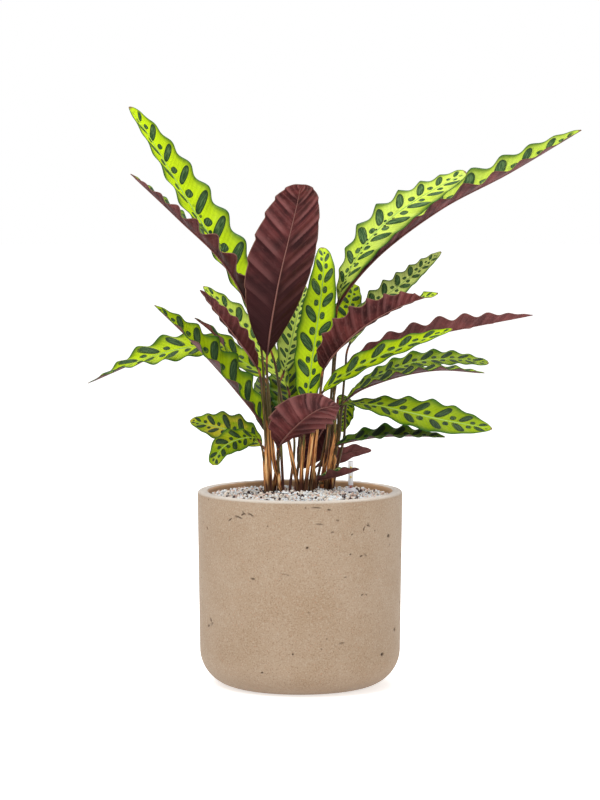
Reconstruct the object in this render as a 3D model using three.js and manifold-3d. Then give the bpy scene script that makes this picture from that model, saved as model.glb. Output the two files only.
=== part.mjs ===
// A calathea in a round stone planter: a bowl-shaped pot filled with mineral granulate, thirty-one
// leaves that rise from the granulate on slim stems, and a water gauge with its float.
// Millimetres, +Z up, origin at the centre of the pot's flat base, -Y towards the front.
import * as THREE from 'three';
import { mergeVertices } from 'three/addons/utils/BufferGeometryUtils.js';
import Module from 'manifold-3d';

// --- Driving dimensions ---------------------------------------------------------------------
const CLEARANCE = 0.3;

const POT = {
  height: 239,
  rimRadius: 125.2,
  wallRadius: 122.7,
  cornerRadius: 45,
  wall: 14,
  rimRound: 4,
  sides: 56,
  cornerSteps: 6,
  rimSteps: 3,
};

const GRANULATE = {
  belowRim: 8,
  crown: 3,
  relief: 1.3,
  rings: 10,
};

const GAUGE = {
  x: 62.5,
  y: 29,
  columnRadius: 3.1,
  columnHeight: 32.7,
  columnBore: 2.2,
  capThickness: 1.2,
  coneHeight: 4,
  coneWall: 2,
  shoulder: 3,
  footRadius: 9.5,
  footThickness: 1.6,
  shaftRadius: 7,
  shaftBore: 6.1,
  levelRadius: 22,
  sides: 20,
};

const FLOAT = {
  tipAboveCone: 3,
  tipBevel: 1,
  tipRadius: 0.9,
  rodRadius: 1.5,
  bodyRadius: 5.2,
  bodyHeight: 40,
  bodyTaper: 4,
  sides: 16,
};

const STEM = {
  rootDepth: 14,
  upright: 8,
  rootRadius: 2,
  collarRadius: 1.4,
  stations: 8,
};

const HOLE = {
  radius: 3.8,
  sides: 8,
  aboveRim: 5,
};

const BLADE = {
  thickness: 1.3,
  ribDepth: 1.4,
  tipHalfWidth: 0.9,
  fullness: 0.85,
  waveShare: 0.18,
};

// Each leaf: where its stem leaves the granulate, the points its stem passes, the points along
// its midrib from the stem's end to the tip, its widest half width, the angle its upper side is
// turned about the midrib at the base and at the tip (0 shows it to the front, 180 shows the
// underside), how far each half is folded up from flat, and its number of waves.
const LEAVES = [
  {
    name: 'leaf_tall_left',
    root: [-2.5, 20],
    stem: [[-7, 21, 261], [-18, 24, 318], [-26, 25, 366]],
    blade: [[-38, 28, 413], [-84, 58, 503], [-136, 78, 585], [-183, 92, 663], [-212, 102, 706]],
    halfWidth: 35, turn: [58, 50], fold: 25, waves: 8, widest: 0.45,
  },
  {
    name: 'leaf_edge_left',
    root: [-36.5, 7.5],
    stem: [[-40, 8, 300], [-43, 4, 354]],
    blade: [[-52, 4, 435], [-90, -8, 513], [-147, -18, 571], [-204, -28, 625]],
    halfWidth: 28, turn: [105, 91], fold: 20, waves: 7, widest: 0.45,
  },
  {
    name: 'leaf_front_purple',
    root: [-24, 18.5],
    stem: [[-32, 14, 274], [-37, 2, 343]],
    blade: [[-40, -8, 406], [-28, -27, 485], [-14, -50, 546], [-4, -74, 588], [1, -110, 614]],
    halfWidth: 42, turn: [205, 190], fold: 14, waves: 7, widest: 0.46,
  },
  {
    name: 'leaf_behind_left',
    root: [-31.3, 22.5],
    stem: [[-23, 40, 296], [-17, 52, 332]],
    blade: [[-15, 56, 359], [-46, 78, 400], [-77, 98, 438], [-121, 118, 482]],
    halfWidth: 23, turn: [35, 50], fold: 20, waves: 6, widest: 0.45,
  },
  {
    name: 'leaf_purple_left',
    root: [-40, 3],
    stem: [[-42, 2, 300], [-46, -6, 356]],
    blade: [[-52, -8, 390], [-83, -26, 436], [-120, -46, 486]],
    halfWidth: 22, turn: [116, 116], fold: 18, waves: 6, widest: 0.45,
  },
  {
    name: 'leaf_thin_left',
    root: [-35.5, 13.5],
    stem: [[-39, 18, 299], [-40, 24, 347]],
    blade: [[-44, 28, 375], [-81, 45, 401], [-108, 38, 430], [-129, 26, 448]],
    halfWidth: 20, turn: [30, 112], fold: 20, waves: 6, widest: 0.35,
  },
  {
    name: 'leaf_broad_left',
    root: [-41, 14],
    stem: [[-43, 14, 274]],
    blade: [[-44, 14, 314], [-78, 0, 362], [-129, -6, 419], [-177, 0, 465]],
    halfWidth: 30, turn: [70, 66], fold: 32, waves: 7, widest: 0.42,
  },
  {
    name: 'leaf_far_left',
    root: [-36, 24],
    stem: [[-39, 34, 322], [-49, 50, 370]],
    blade: [[-67, 64, 402], [-118, 75, 411], [-186, 66, 397], [-261, 38, 367]],
    halfWidth: 24, turn: [34, 74], fold: 12, waves: 7, widest: 0.5,
  },
  {
    name: 'leaf_yellow_left',
    root: [-38.5, 19],
    stem: [[-42, 24, 273]],
    blade: [[-47, 34, 290], [-89, 46, 308], [-136, 54, 319]],
    halfWidth: 24, turn: [40, 45], fold: 12, waves: 5, widest: 0.45,
  },
  {
    name: 'leaf_drooping_left',
    root: [-42, 8.5],
    stem: [[-44, 6, 275]],
    blade: [[-51, -2, 301], [-73, -24, 304], [-94, -46, 295], [-105, -60, 276]],
    halfWidth: 16, turn: [40, 15], fold: 8, waves: 5, widest: 0.5,
  },
  {
    name: 'leaf_centre',
    root: [2, 13],
    stem: [[2, 12, 262], [4, 12, 288]],
    blade: [[6, 14, 316], [14, 20, 390], [24, 24, 460], [29, 34, 508], [28, 62, 533]],
    halfWidth: 23, turn: [-36, 10], fold: 16, waves: 6, widest: 0.48,
  },
  {
    name: 'leaf_centre_back',
    root: [-21, 21.5],
    stem: [[-23, 26, 285], [-26, 36, 359]],
    blade: [[-20, 42, 380], [-9, 56, 425], [6, 84, 485]],
    halfWidth: 19, turn: [0, 0], fold: 16, waves: 5, widest: 0.45,
  },
  {
    name: 'leaf_tall_right',
    root: [27.5, 56.5],
    stem: [[35, 56, 295], [42, 56, 406]],
    blade: [[47, 54, 466], [60, 50, 503], [91, 50, 550], [136, 56, 587], [205, 74, 626]],
    halfWidth: 24, turn: [-30, -40], fold: 5, waves: 8, widest: 0.5,
  },
  {
    name: 'leaf_longest_right',
    root: [17, 34],
    stem: [[17, 40, 272], [27, 56, 369]],
    blade: [[40, 66, 448], [91, 86, 516], [174, 112, 578], [261, 114, 624], [349, 96, 677]],
    halfWidth: 27, turn: [-98, -58], fold: 38, waves: 9, widest: 0.56,
  },
  {
    name: 'leaf_back_striped',
    root: [33, 58],
    stem: [[41, 68, 319], [43, 76, 383]],
    blade: [[47, 84, 411], [59, 100, 447], [68, 118, 485]],
    halfWidth: 18, turn: [0, 0], fold: 8, waves: 3, widest: 0.5,
  },
  {
    name: 'leaf_wavy_right_back',
    root: [38.5, 58],
    stem: [[50, 62, 319], [56, 64, 381]],
    blade: [[61, 66, 412], [89, 78, 457], [127, 90, 487], [158, 98, 512], [176, 104, 526]],
    halfWidth: 17, turn: [-38, -36], fold: 12, waves: 7, widest: 0.45,
  },
  {
    name: 'leaf_broad_purple_right',
    root: [13, 18.5],
    stem: [[17, 14, 274], [24, 4, 349]],
    blade: [[29, -4, 388], [50, -18, 417], [80, -34, 444], [120, -50, 467], [165, -64, 483]],
    halfWidth: 29, turn: [232, 232], fold: 32, waves: 7, widest: 0.35,
  },
  {
    name: 'leaf_long_purple_right',
    root: [27, 50.5],
    stem: [[35, 40, 296], [42, 30, 353]],
    blade: [[51, 22, 383], [88, 12, 408], [146, 2, 426], [206, -6, 439], [282, -16, 454]],
    halfWidth: 22, turn: [246, 242], fold: 26, waves: 7, widest: 0.5,
  },
  {
    name: 'leaf_front_right',
    root: [7.5, 13],
    stem: [[11, 8, 275], [17, 2, 319]],
    blade: [[28, -6, 360], [82, -28, 398], [135, -46, 422], [183, -62, 440]],
    halfWidth: 18, turn: [-56, -56], fold: 15, waves: 6, widest: 0.4,
  },
  {
    name: 'leaf_mid_right_back',
    root: [41.5, 52],
    stem: [[54, 56, 295]],
    blade: [[64, 64, 353], [129, 78, 386], [186, 78, 394], [234, 70, 389]],
    halfWidth: 17, turn: [-55, -58], fold: 8, waves: 5, widest: 0.5,
  },
  {
    name: 'leaf_mid_right',
    root: [36, 52],
    stem: [[48, 50, 295]],
    blade: [[57, 42, 346], [104, 34, 371], [166, 26, 384], [226, 18, 381]],
    halfWidth: 19, turn: [-82, -88], fold: 20, waves: 6, widest: 0.4,
  },
  {
    name: 'leaf_drooping_right',
    root: [33, 44.5],
    stem: [[42, 34, 297]],
    blade: [[49, 20, 340], [88, -6, 344], [130, -28, 337], [175, -50, 329], [230, -74, 321]],
    halfWidth: 24, turn: [-68, -28], fold: 8, waves: 6, widest: 0.55,
  },
  {
    name: 'leaf_dark_right',
    root: [38.5, 46.5],
    stem: [[43, 44, 269]],
    blade: [[44, 38, 290], [92, 34, 301], [138, 26, 303], [178, 18, 302]],
    halfWidth: 17, turn: [-72, -70], fold: 25, waves: 5, widest: 0.45,
  },
  {
    name: 'leaf_purple_low_right',
    root: [20, 66],
    stem: [[19, 70, 251]],
    blade: [[19, 74, 259], [42, 80, 269], [65, 82, 278], [89, 84, 279]],
    halfWidth: 10, turn: [195, 195], fold: 8, waves: 3, widest: 0.5,
  },
  {
    name: 'leaf_small_low',
    root: [27.5, 45],
    stem: [[24, 34, 243]],
    blade: [[22, 26, 249], [34, 10, 253], [52, -10, 259], [72, -32, 268]],
    halfWidth: 13, turn: [-82, -104], fold: 36, waves: 3, widest: 0.42,
  },
  {
    name: 'leaf_front_low',
    root: [-25.5, 13],
    stem: [[-26, 12, 262]],
    blade: [[-26, 0, 292], [-5, -44, 322], [21, -84, 345], [46, -114, 353]],
    halfWidth: 34, turn: [213, 207], fold: 16, waves: 6, widest: 0.48,
  },
  {
    name: 'leaf_hanging_back',
    root: [21, 59],
    stem: [[32, 62, 294]],
    blade: [[37, 68, 321], [24, 94, 295], [0, 119, 253]],
    halfWidth: 24, turn: [180, 180], fold: 10, waves: 5, widest: 0.45,
  },
  {
    name: 'leaf_back_low',
    root: [-5, 27],
    stem: [[0, 44, 284]],
    blade: [[0, 62, 309], [-1, 124, 342], [-5, 196, 368]],
    halfWidth: 24, turn: [0, 0], fold: 12, waves: 5, widest: 0.45,
  },
  {
    name: 'leaf_back_centre',
    root: [-12, 28],
    stem: [[-7, 44, 284]],
    blade: [[-9, 64, 313], [-16, 96, 360], [-24, 134, 402]],
    halfWidth: 23, turn: [0, 0], fold: 12, waves: 5, widest: 0.45,
  },
  {
    name: 'leaf_back_left',
    root: [-26.5, 26],
    stem: [[-27, 42, 278]],
    blade: [[-30, 56, 295], [-42, 92, 335], [-50, 134, 368]],
    halfWidth: 19, turn: [10, 10], fold: 12, waves: 5, widest: 0.45,
  },
  {
    name: 'leaf_back_right',
    root: [36, 63.5],
    stem: [[47, 72, 306]],
    blade: [[47, 78, 345], [57, 92, 334], [53, 106, 300]],
    halfWidth: 11, turn: [0, 0], fold: 6, waves: 3, widest: 0.5,
  },
];

// How finely a leaf's curve is measured, and the corners of each of its sections.
const CURVE_DIVISIONS = 400;
const SECTION_CORNERS = 6;

const COLOURS = {
  stone: 0xbea88c,
  granulate: 0xcfc2b6,
  leafUpper: 0x9fc428,
  leafUnder: 0x6e3b3e,
  clearPlastic: 0xe6ebee,
  floatRed: 0xc8401e,
};

const wasm = await Module();
wasm.setup();

// --- Helpers --------------------------------------------------------------------------------
function material(colour, roughness) {
  return new THREE.MeshStandardMaterial({ color: colour, roughness, metalness: 0 });
}

function named(name, geometry, finish) {
  const mesh = new THREE.Mesh(geometry, finish);
  mesh.name = name;
  return mesh;
}

function toSolid(geometry) {
  const bare = new THREE.BufferGeometry();
  bare.setAttribute('position', geometry.getAttribute('position'));
  bare.setIndex(geometry.getIndex());
  const merged = mergeVertices(bare, 1e-3);
  return new wasm.Manifold(
    new wasm.Mesh({
      numProp: 3,
      vertProperties: new Float32Array(merged.getAttribute('position').array),
      triVerts: new Uint32Array(merged.getIndex().array),
    }),
  );
}

function toGeometry(solid) {
  const mesh = solid.getMesh();
  const geometry = new THREE.BufferGeometry();
  geometry.setAttribute('position', new THREE.BufferAttribute(mesh.vertProperties, 3));
  geometry.setIndex(new THREE.BufferAttribute(mesh.triVerts, 1));
  geometry.computeVertexNormals();
  return geometry;
}

// A solid of revolution about Z through [x, y], from [radius, z] points that start and end on it.
function turned(points, sides, x = 0, y = 0) {
  const profile = points.map(([radius, z]) => new THREE.Vector2(radius, z));
  const geometry = new THREE.LatheGeometry(profile, sides);
  geometry.rotateX(Math.PI / 2);
  geometry.translate(x, y, 0);
  return geometry;
}

// Points on an arc about [radius, z], from one angle to another, in degrees from straight out.
function arc(radius, z, size, from, to, steps) {
  return Array.from({ length: steps + 1 }, (_, i) => {
    const angle = THREE.MathUtils.degToRad(from + ((to - from) * i) / steps);
    return [radius + size * Math.cos(angle), z + size * Math.sin(angle)];
  });
}

// --- Pot and granulate ----------------------------------------------------------------------
// The bowl's outline moved inwards by a distance, from the axis to the top of the round corner.
function bowlOutline(inset) {
  const centre = POT.wallRadius - POT.cornerRadius;
  const corner = arc(centre, POT.cornerRadius, POT.cornerRadius - inset, -90, 0, POT.cornerSteps);
  return [[0, inset], ...corner];
}

function potGeometry() {
  const round = POT.rimRound;
  const top = POT.height - round;
  const outer = bowlOutline(0);
  const rim = [
    ...arc(POT.rimRadius - round, top, round, 0, 90, POT.rimSteps),
    ...arc(POT.rimRadius - POT.wall + round, top, round, 90, 180, POT.rimSteps),
  ];
  const inner = bowlOutline(POT.wall).reverse();
  return turned([...outer, ...rim, ...inner], POT.sides);
}

const granulateTop = POT.height - GRANULATE.belowRim;

// Height of the granulate at a place, with its low crown in the middle and level at the gauge.
function granulateHeight(x, y) {
  const level = nearGauge(x, y);
  const fromAxis = level ? Math.hypot(GAUGE.x, GAUGE.y) : Math.hypot(x, y);
  const share = Math.min(1, fromAxis / (POT.rimRadius - POT.wall));
  return granulateTop + GRANULATE.crown * (1 - share * share);
}

function nearGauge(x, y) {
  return Math.hypot(x - GAUGE.x, y - GAUGE.y) < GAUGE.levelRadius;
}

// Uneven grains as a formula of the place, none where the gauge stands.
function grainRelief(x, y) {
  const uneven = Math.sin(x * 12.9898 + y * 78.233) * 43758.5453;
  return nearGauge(x, y) ? 0 : GRANULATE.relief * (2 * (uneven - Math.floor(uneven)) - 1);
}

function granulateGeometry() {
  const inset = POT.wall + CLEARANCE;
  const edge = POT.rimRadius - inset;
  const rings = Array.from({ length: GRANULATE.rings }, (_, i) => [
    edge * (1 - i / GRANULATE.rings),
    granulateTop,
  ]);
  const profile = [...bowlOutline(inset), ...rings, [0, granulateTop]];
  const geometry = turned(profile, POT.sides);
  const place = geometry.getAttribute('position');
  for (let i = 0; i < place.count; i += 1) {
    if (place.getZ(i) > granulateTop - 1) {
      const x = Math.round(place.getX(i) * 100) / 100;
      const y = Math.round(place.getY(i) * 100) / 100;
      place.setZ(i, granulateHeight(x, y) + grainRelief(x, y));
    }
  }
  return geometry;
}

function holeGeometry(x, y, radius, bottom) {
  const height = POT.height + HOLE.aboveRim - bottom;
  const geometry = new THREE.CylinderGeometry(radius, radius, height, HOLE.sides);
  geometry.rotateX(Math.PI / 2);
  geometry.translate(x, y, bottom + height / 2);
  return geometry;
}

// --- Water gauge ----------------------------------------------------------------------------
const footBottom = granulateHeight(GAUGE.x, GAUGE.y) + CLEARANCE;
const coneTop = footBottom + GAUGE.footThickness + GAUGE.coneHeight;
const columnTop = coneTop + GAUGE.columnHeight;
const shaftBottom = POT.wall + CLEARANCE;

function gaugeGeometry() {
  const g = GAUGE;
  const profile = [
    [0, columnTop - g.capThickness],
    [g.columnBore, columnTop - g.capThickness],
    [g.columnBore, coneTop - g.coneWall],
    [g.shaftBore, footBottom - g.shoulder],
    [g.shaftBore, shaftBottom],
    [g.shaftRadius, shaftBottom],
    [g.shaftRadius, footBottom],
    [g.footRadius, footBottom],
    [g.footRadius, footBottom + g.footThickness],
    [g.columnRadius, coneTop],
    [g.columnRadius, columnTop],
    [0, columnTop],
  ];
  return turned(profile, g.sides, g.x, g.y);
}

function floatGeometry() {
  const f = FLOAT;
  const tipTop = coneTop + f.tipAboveCone;
  const bodyTop = shaftBottom + f.bodyHeight;
  const profile = [
    [0, shaftBottom],
    [f.bodyRadius, shaftBottom],
    [f.bodyRadius, bodyTop],
    [f.rodRadius, bodyTop + f.bodyTaper],
    [f.rodRadius, tipTop - f.tipBevel],
    [f.tipRadius, tipTop],
    [0, tipTop],
  ];
  return turned(profile, f.sides, GAUGE.x, GAUGE.y);
}

// --- Leaves ---------------------------------------------------------------------------------
const FRONT = new THREE.Vector3(0, -1, 0);

function leafCurve(row) {
  const [x, y] = row.root;
  const surface = granulateHeight(x, y);
  const points = [
    [x, y, surface - STEM.rootDepth],
    [x, y, surface + STEM.upright],
    ...row.stem,
    ...row.blade,
  ].map((p) => new THREE.Vector3(...p));
  return new THREE.CatmullRomCurve3(points, false, 'catmullrom', 0.5);
}

// The share of the curve's length at which the blade begins.
function collarShare(curve, row) {
  const lengths = curve.getLengths(CURVE_DIVISIONS);
  const spans = curve.points.length - 1;
  const at = (spans - row.blade.length + 1) / spans;
  return lengths[Math.round(at * CURVE_DIVISIONS)] / lengths[CURVE_DIVISIONS];
}

// Half width of a blade as a share of its widest, from its base (0) to its tip (1).
function outline(s, widest) {
  const power = Math.log(0.5) / Math.log(widest);
  return Math.sin(Math.PI * s ** power) ** BLADE.fullness;
}

// Six corners of a stem's section: across the leaf and along its upper side's direction.
function stemSection(radius) {
  const half = radius * Math.sqrt(3) / 2;
  return [[-half, radius / 2], [0, radius], [half, radius / 2],
    [half, -radius / 2], [0, -radius], [-half, -radius / 2]];
}

// Six corners of a blade's section: edge, middle and edge above, then edge, rib and edge below.
function bladeSection(row, s, wave) {
  const half = Math.max(BLADE.tipHalfWidth, row.halfWidth * outline(s, row.widest));
  const fold = THREE.MathUtils.degToRad(row.fold);
  const swell = row.halfWidth * BLADE.waveShare * Math.sin(Math.PI * s) ** 0.5 * wave;
  const out = half * Math.cos(fold);
  const lift = half * Math.sin(fold);
  const t = BLADE.thickness / 2;
  const rib = t + BLADE.ribDepth * (1 - s);
  return [[-out, lift + swell + t], [0, t], [out, lift - swell + t],
    [out, lift - swell - t], [0, -rib], [-out, lift + swell - t]];
}

// The leaf's stations from the root to the tip: their place on the curve, turn and section.
function leafStations(row, collar) {
  const stations = [];
  for (let i = 0; i < STEM.stations; i += 1) {
    const share = i / STEM.stations;
    const radius = THREE.MathUtils.lerp(STEM.rootRadius, STEM.collarRadius, share);
    stations.push({ at: share * collar, turn: row.turn[0], section: stemSection(radius) });
  }
  const count = 2 * row.waves + 1;
  stations.push({ at: collar, turn: row.turn[0], section: stemSection(STEM.collarRadius) });
  for (let i = 1; i <= count; i += 1) {
    const s = i / count;
    const wave = i === count ? 0 : (-1) ** i;
    const turn = THREE.MathUtils.lerp(row.turn[0], row.turn[1], s);
    stations.push({ at: collar + (1 - collar) * s, turn, section: bladeSection(row, s, wave) });
  }
  return stations;
}

function leafGeometry(row) {
  const curve = leafCurve(row);
  const stations = leafStations(row, collarShare(curve, row));
  const corners = [];
  for (const station of stations) {
    const centre = curve.getPointAt(station.at);
    const along = curve.getTangentAt(station.at);
    const turn = THREE.MathUtils.degToRad(station.turn);
    const facing = FRONT.clone().addScaledVector(along, -FRONT.dot(along)).normalize();
    const upper = facing.clone().applyAxisAngle(along, turn);
    const across = along.clone().cross(upper);
    for (const [b, n] of station.section) {
      corners.push(centre.clone().addScaledVector(across, b).addScaledVector(upper, n));
    }
  }
  const index = [];
  for (let ring = 0; ring < stations.length - 1; ring += 1) {
    for (let k = 0; k < SECTION_CORNERS; k += 1) {
      const a = ring * SECTION_CORNERS + k;
      const b = ring * SECTION_CORNERS + ((k + 1) % SECTION_CORNERS);
      const [c, d] = [a + SECTION_CORNERS, b + SECTION_CORNERS];
      // The diagonals below mirror those above, so both faces are split alike.
      if (k < SECTION_CORNERS / 2) index.push(a, b, c, b, d, c);
      else index.push(a, d, c, a, b, d);
    }
  }
  const last = (stations.length - 1) * SECTION_CORNERS;
  for (let k = 1; k < SECTION_CORNERS - 1; k += 1) {
    index.push(0, k + 1, k);
    index.push(last, last + k, last + k + 1);
  }
  const geometry = new THREE.BufferGeometry().setFromPoints(corners);
  geometry.setIndex(index);
  geometry.computeVertexNormals();
  return geometry;
}

// --- The planter ----------------------------------------------------------------------------
const planter = new THREE.Group();

planter.add(named('pot', potGeometry(), material(COLOURS.stone, 0.85)));

const holes = [
  ...LEAVES.map((row) => {
    const [x, y] = row.root;
    const bottom = granulateHeight(x, y) - STEM.rootDepth - CLEARANCE;
    return holeGeometry(x, y, HOLE.radius, bottom);
  }),
  holeGeometry(
    GAUGE.x,
    GAUGE.y,
    (GAUGE.shaftRadius + CLEARANCE) / Math.cos(Math.PI / HOLE.sides),
    0,
  ),
];
const granulate = holes.reduce(
  (solid, hole) => solid.subtract(toSolid(hole)),
  toSolid(granulateGeometry()),
);
planter.add(named('granulate', toGeometry(granulate), material(COLOURS.granulate, 0.9)));

planter.add(named('gauge_tube', gaugeGeometry(), material(COLOURS.clearPlastic, 0.15)));
planter.add(named('gauge_float', floatGeometry(), material(COLOURS.floatRed, 0.4)));

for (const row of LEAVES) {
  const finish = material(row.turn[0] > 100 ? COLOURS.leafUnder : COLOURS.leafUpper, 0.5);
  planter.add(named(row.name, leafGeometry(row), finish));
}

export default planter;
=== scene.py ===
"""A calathea in a round stone planter: spotted wavy leaves, mineral granulate and a water gauge.

Named sizes are in millimetres and angles in degrees, unless a docstring says otherwise. Every mesh
and every size that a material reads is in metres.
"""

import logging
import math
import random
from dataclasses import dataclass
from enum import Enum

import bmesh
import bpy
import numpy as np
from mathutils import Matrix, Vector, noise


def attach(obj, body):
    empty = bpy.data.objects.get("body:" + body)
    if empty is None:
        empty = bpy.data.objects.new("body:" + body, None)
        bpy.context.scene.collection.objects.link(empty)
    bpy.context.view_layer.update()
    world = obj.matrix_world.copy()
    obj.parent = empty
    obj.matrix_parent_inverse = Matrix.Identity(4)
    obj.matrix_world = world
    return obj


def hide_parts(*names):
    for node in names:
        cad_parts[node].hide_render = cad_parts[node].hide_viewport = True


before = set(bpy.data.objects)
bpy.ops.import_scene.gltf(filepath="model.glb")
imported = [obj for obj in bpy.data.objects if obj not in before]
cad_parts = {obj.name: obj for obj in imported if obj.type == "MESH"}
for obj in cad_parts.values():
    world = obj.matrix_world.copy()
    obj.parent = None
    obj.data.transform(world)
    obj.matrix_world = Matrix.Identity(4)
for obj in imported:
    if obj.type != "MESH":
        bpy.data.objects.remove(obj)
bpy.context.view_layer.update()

MM = 0.001
SEED = 11
PLANTER_BODY = "planter"
FLOAT_BODY = "float"

Colour = tuple[int, int, int]
Point = tuple[float, float, float]

log = logging.getLogger("planter")


# --- Small tools ----------------------------------------------------------------------------
def linear(colour: Colour) -> tuple[float, float, float, float]:
    """Turns a colour as seen on a screen into the shader's own numbers.

    Args:
        colour: Red, green and blue from 0 to 255.

    Returns:
        Linear red, green, blue and an alpha of 1.
    """
    parts = [part / 255 for part in colour]
    red, green, blue = (
        part / 12.92 if part <= 0.04045 else ((part + 0.055) / 1.055) ** 2.4 for part in parts
    )
    return red, green, blue, 1.0


class Slot(Enum):
    """The record's material slots."""

    STONE = "stone"
    GRANULATE = "granulate"
    CLEAR = "clear_plastic"
    FLOAT = "float_red"
    LEAF = "leaf"


class Piece:
    """Turns a bmesh into a finished object that rides on a body of the frame."""

    def __init__(self, name: str, body: str = PLANTER_BODY) -> None:
        """Names the piece and the body that it rides on."""
        self.name = name
        self.body = body

    def finish(
        self,
        bm: bmesh.types.BMesh,
        materials: list[bpy.types.Material],
        slot: Slot,
        replaces: str | None = None,
        smooth: bool = True,
    ) -> bpy.types.Object:
        """Args:
            bm: The finished shape in metres, freed here.
            materials: One for each material index in the shape.
            slot: The record's slot that its finish comes from; not used.
            replaces: The node that it stands for, if any.
            smooth: Whether its faces are shaded smooth.

        Returns:
            The new object.
        """
        mesh = bpy.data.meshes.new(self.name)
        for face in bm.faces:
            face.smooth = smooth
        bm.to_mesh(mesh)
        bm.free()
        for material in materials:
            mesh.materials.append(material)
        made = bpy.data.objects.new(self.name, mesh)
        bpy.context.scene.collection.objects.link(made)
        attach(made, self.body)
        if replaces:
            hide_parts(replaces)
        return made


def thicken(made: bpy.types.Object, thickness: float, offset: float) -> bpy.types.SolidifyModifier:
    """Gives a sheet its thickness.

    Args:
        made: The sheet.
        thickness: How thick it gets, in metres.
        offset: On which side, from -1 below the sheet to 1 above it.

    Returns:
        The modifier.
    """
    shell = made.modifiers.new("thickness", "SOLIDIFY")
    shell.thickness = thickness
    shell.offset = offset
    return shell


class Graph:
    """Builds one material's nodes with short calls."""

    def __init__(self, name: str) -> None:
        """Starts an empty material.

        Args:
            name: The material's name.
        """
        self.material = bpy.data.materials.new(name)
        self.material.use_nodes = True
        self.tree = self.material.node_tree
        self.tree.nodes.clear()

    def node(self, kind: str, **settings: object) -> bpy.types.Node:
        """Adds a node.

        Args:
            kind: The node's type.
            settings: Its own properties.

        Returns:
            The node.
        """
        made = self.tree.nodes.new(kind)
        for key, value in settings.items():
            setattr(made, key, value)
        return made

    def feed(self, socket: bpy.types.NodeSocket, term: object) -> None:
        """Links a socket to an output, or gives it a value.

        Args:
            socket: The input.
            term: An output socket, a number or a tuple.
        """
        if isinstance(term, bpy.types.NodeSocket):
            self.tree.links.new(term, socket)
        else:
            socket.default_value = term

    def math(self, operation: str, *terms: object, clamp: bool = False) -> bpy.types.NodeSocket:
        """One step of arithmetic.

        Args:
            operation: The Math node's operation.
            terms: Its inputs.
            clamp: Whether the result is kept between 0 and 1.

        Returns:
            The result.
        """
        made = self.node("ShaderNodeMath", operation=operation, use_clamp=clamp)
        for socket, term in zip(made.inputs, terms):
            self.feed(socket, term)
        return made.outputs[0]

    def times(self, first: object, second: object, clamp: bool = False) -> bpy.types.NodeSocket:
        """The product of two terms."""
        return self.math("MULTIPLY", first, second, clamp=clamp)

    def plus(self, first: object, second: object, clamp: bool = False) -> bpy.types.NodeSocket:
        """The sum of two terms."""
        return self.math("ADD", first, second, clamp=clamp)

    def minus(self, first: object, second: object, clamp: bool = False) -> bpy.types.NodeSocket:
        """The first term less the second."""
        return self.math("SUBTRACT", first, second, clamp=clamp)

    def scaled(
        self, term: object, by: object, start: object, clamp: bool = False
    ) -> bpy.types.NodeSocket:
        """A term times a factor, counted from a start."""
        return self.math("MULTIPLY_ADD", term, by, start, clamp=clamp)

    def swing(self, term: object, reach: float) -> bpy.types.NodeSocket:
        """A term from 0 to 1, spread evenly to both sides of 0."""
        return self.scaled(term, 2 * reach, -reach)

    def step(self, value: object, low: float, high: float) -> bpy.types.NodeSocket:
        """A soft step from 0 to 1 between two values, which may run downwards.

        Args:
            value: What is measured.
            low: Where the result is 0.
            high: Where the result is 1.

        Returns:
            The result.
        """
        made = self.node("ShaderNodeMapRange", interpolation_type="SMOOTHSTEP")
        self.feed(made.inputs["Value"], value)
        if low < high:
            self.feed(made.inputs["From Min"], low)
            self.feed(made.inputs["From Max"], high)
            return made.outputs[0]
        self.feed(made.inputs["From Min"], high)
        self.feed(made.inputs["From Max"], low)
        made.inputs["To Min"].default_value = 1.0
        made.inputs["To Max"].default_value = 0.0
        return made.outputs[0]

    def mix(self, share: object, first: object, second: object) -> bpy.types.NodeSocket:
        """Mixes two colours.

        Args:
            share: How much of the second.
            first: A colour or an output.
            second: A colour or an output.

        Returns:
            The mixed colour.
        """
        made = self.node("ShaderNodeMix", data_type="RGBA")
        self.feed(made.inputs[0], share)
        for index, term in ((6, first), (7, second)):
            plain = isinstance(term, tuple) and len(term) == 3
            self.feed(made.inputs[index], linear(term) if plain else term)
        return made.outputs[2]

    def lines(self, name: str) -> tuple[bpy.types.NodeSocket, bpy.types.NodeSocket]:
        """The two numbers of the UV map with this name."""
        first, second, _ = self.axes(self.node("ShaderNodeUVMap", uv_map=name).outputs[0])
        return first, second

    def traits(self, name: str) -> list[bpy.types.NodeSocket]:
        """The three numbers of the colour attribute with this name."""
        stored = self.node("ShaderNodeAttribute", attribute_name=name)
        return self.channels(stored.outputs["Color"])

    def channels(self, colour: bpy.types.NodeSocket) -> list[bpy.types.NodeSocket]:
        """Splits a colour into its three numbers.

        Args:
            colour: The colour.

        Returns:
            Its three numbers.
        """
        split = self.node("ShaderNodeSeparateColor")
        self.feed(split.inputs[0], colour)
        return list(split.outputs)

    def axes(self, vector: bpy.types.NodeSocket) -> list[bpy.types.NodeSocket]:
        """Splits a vector into its three numbers.

        Args:
            vector: The vector.

        Returns:
            Its three numbers.
        """
        split = self.node("ShaderNodeSeparateXYZ")
        self.feed(split.inputs[0], vector)
        return list(split.outputs)

    def place(self) -> bpy.types.NodeSocket:
        """The place on the object, in metres."""
        return self.node("ShaderNodeTexCoord").outputs["Object"]

    def vector(self, x: object, y: object, z: object) -> bpy.types.NodeSocket:
        """Joins three numbers into a vector.

        Args:
            x: The first.
            y: The second.
            z: The third.

        Returns:
            The vector.
        """
        made = self.node("ShaderNodeCombineXYZ")
        for socket, term in zip(made.inputs, (x, y, z)):
            self.feed(socket, term)
        return made.outputs[0]

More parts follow.
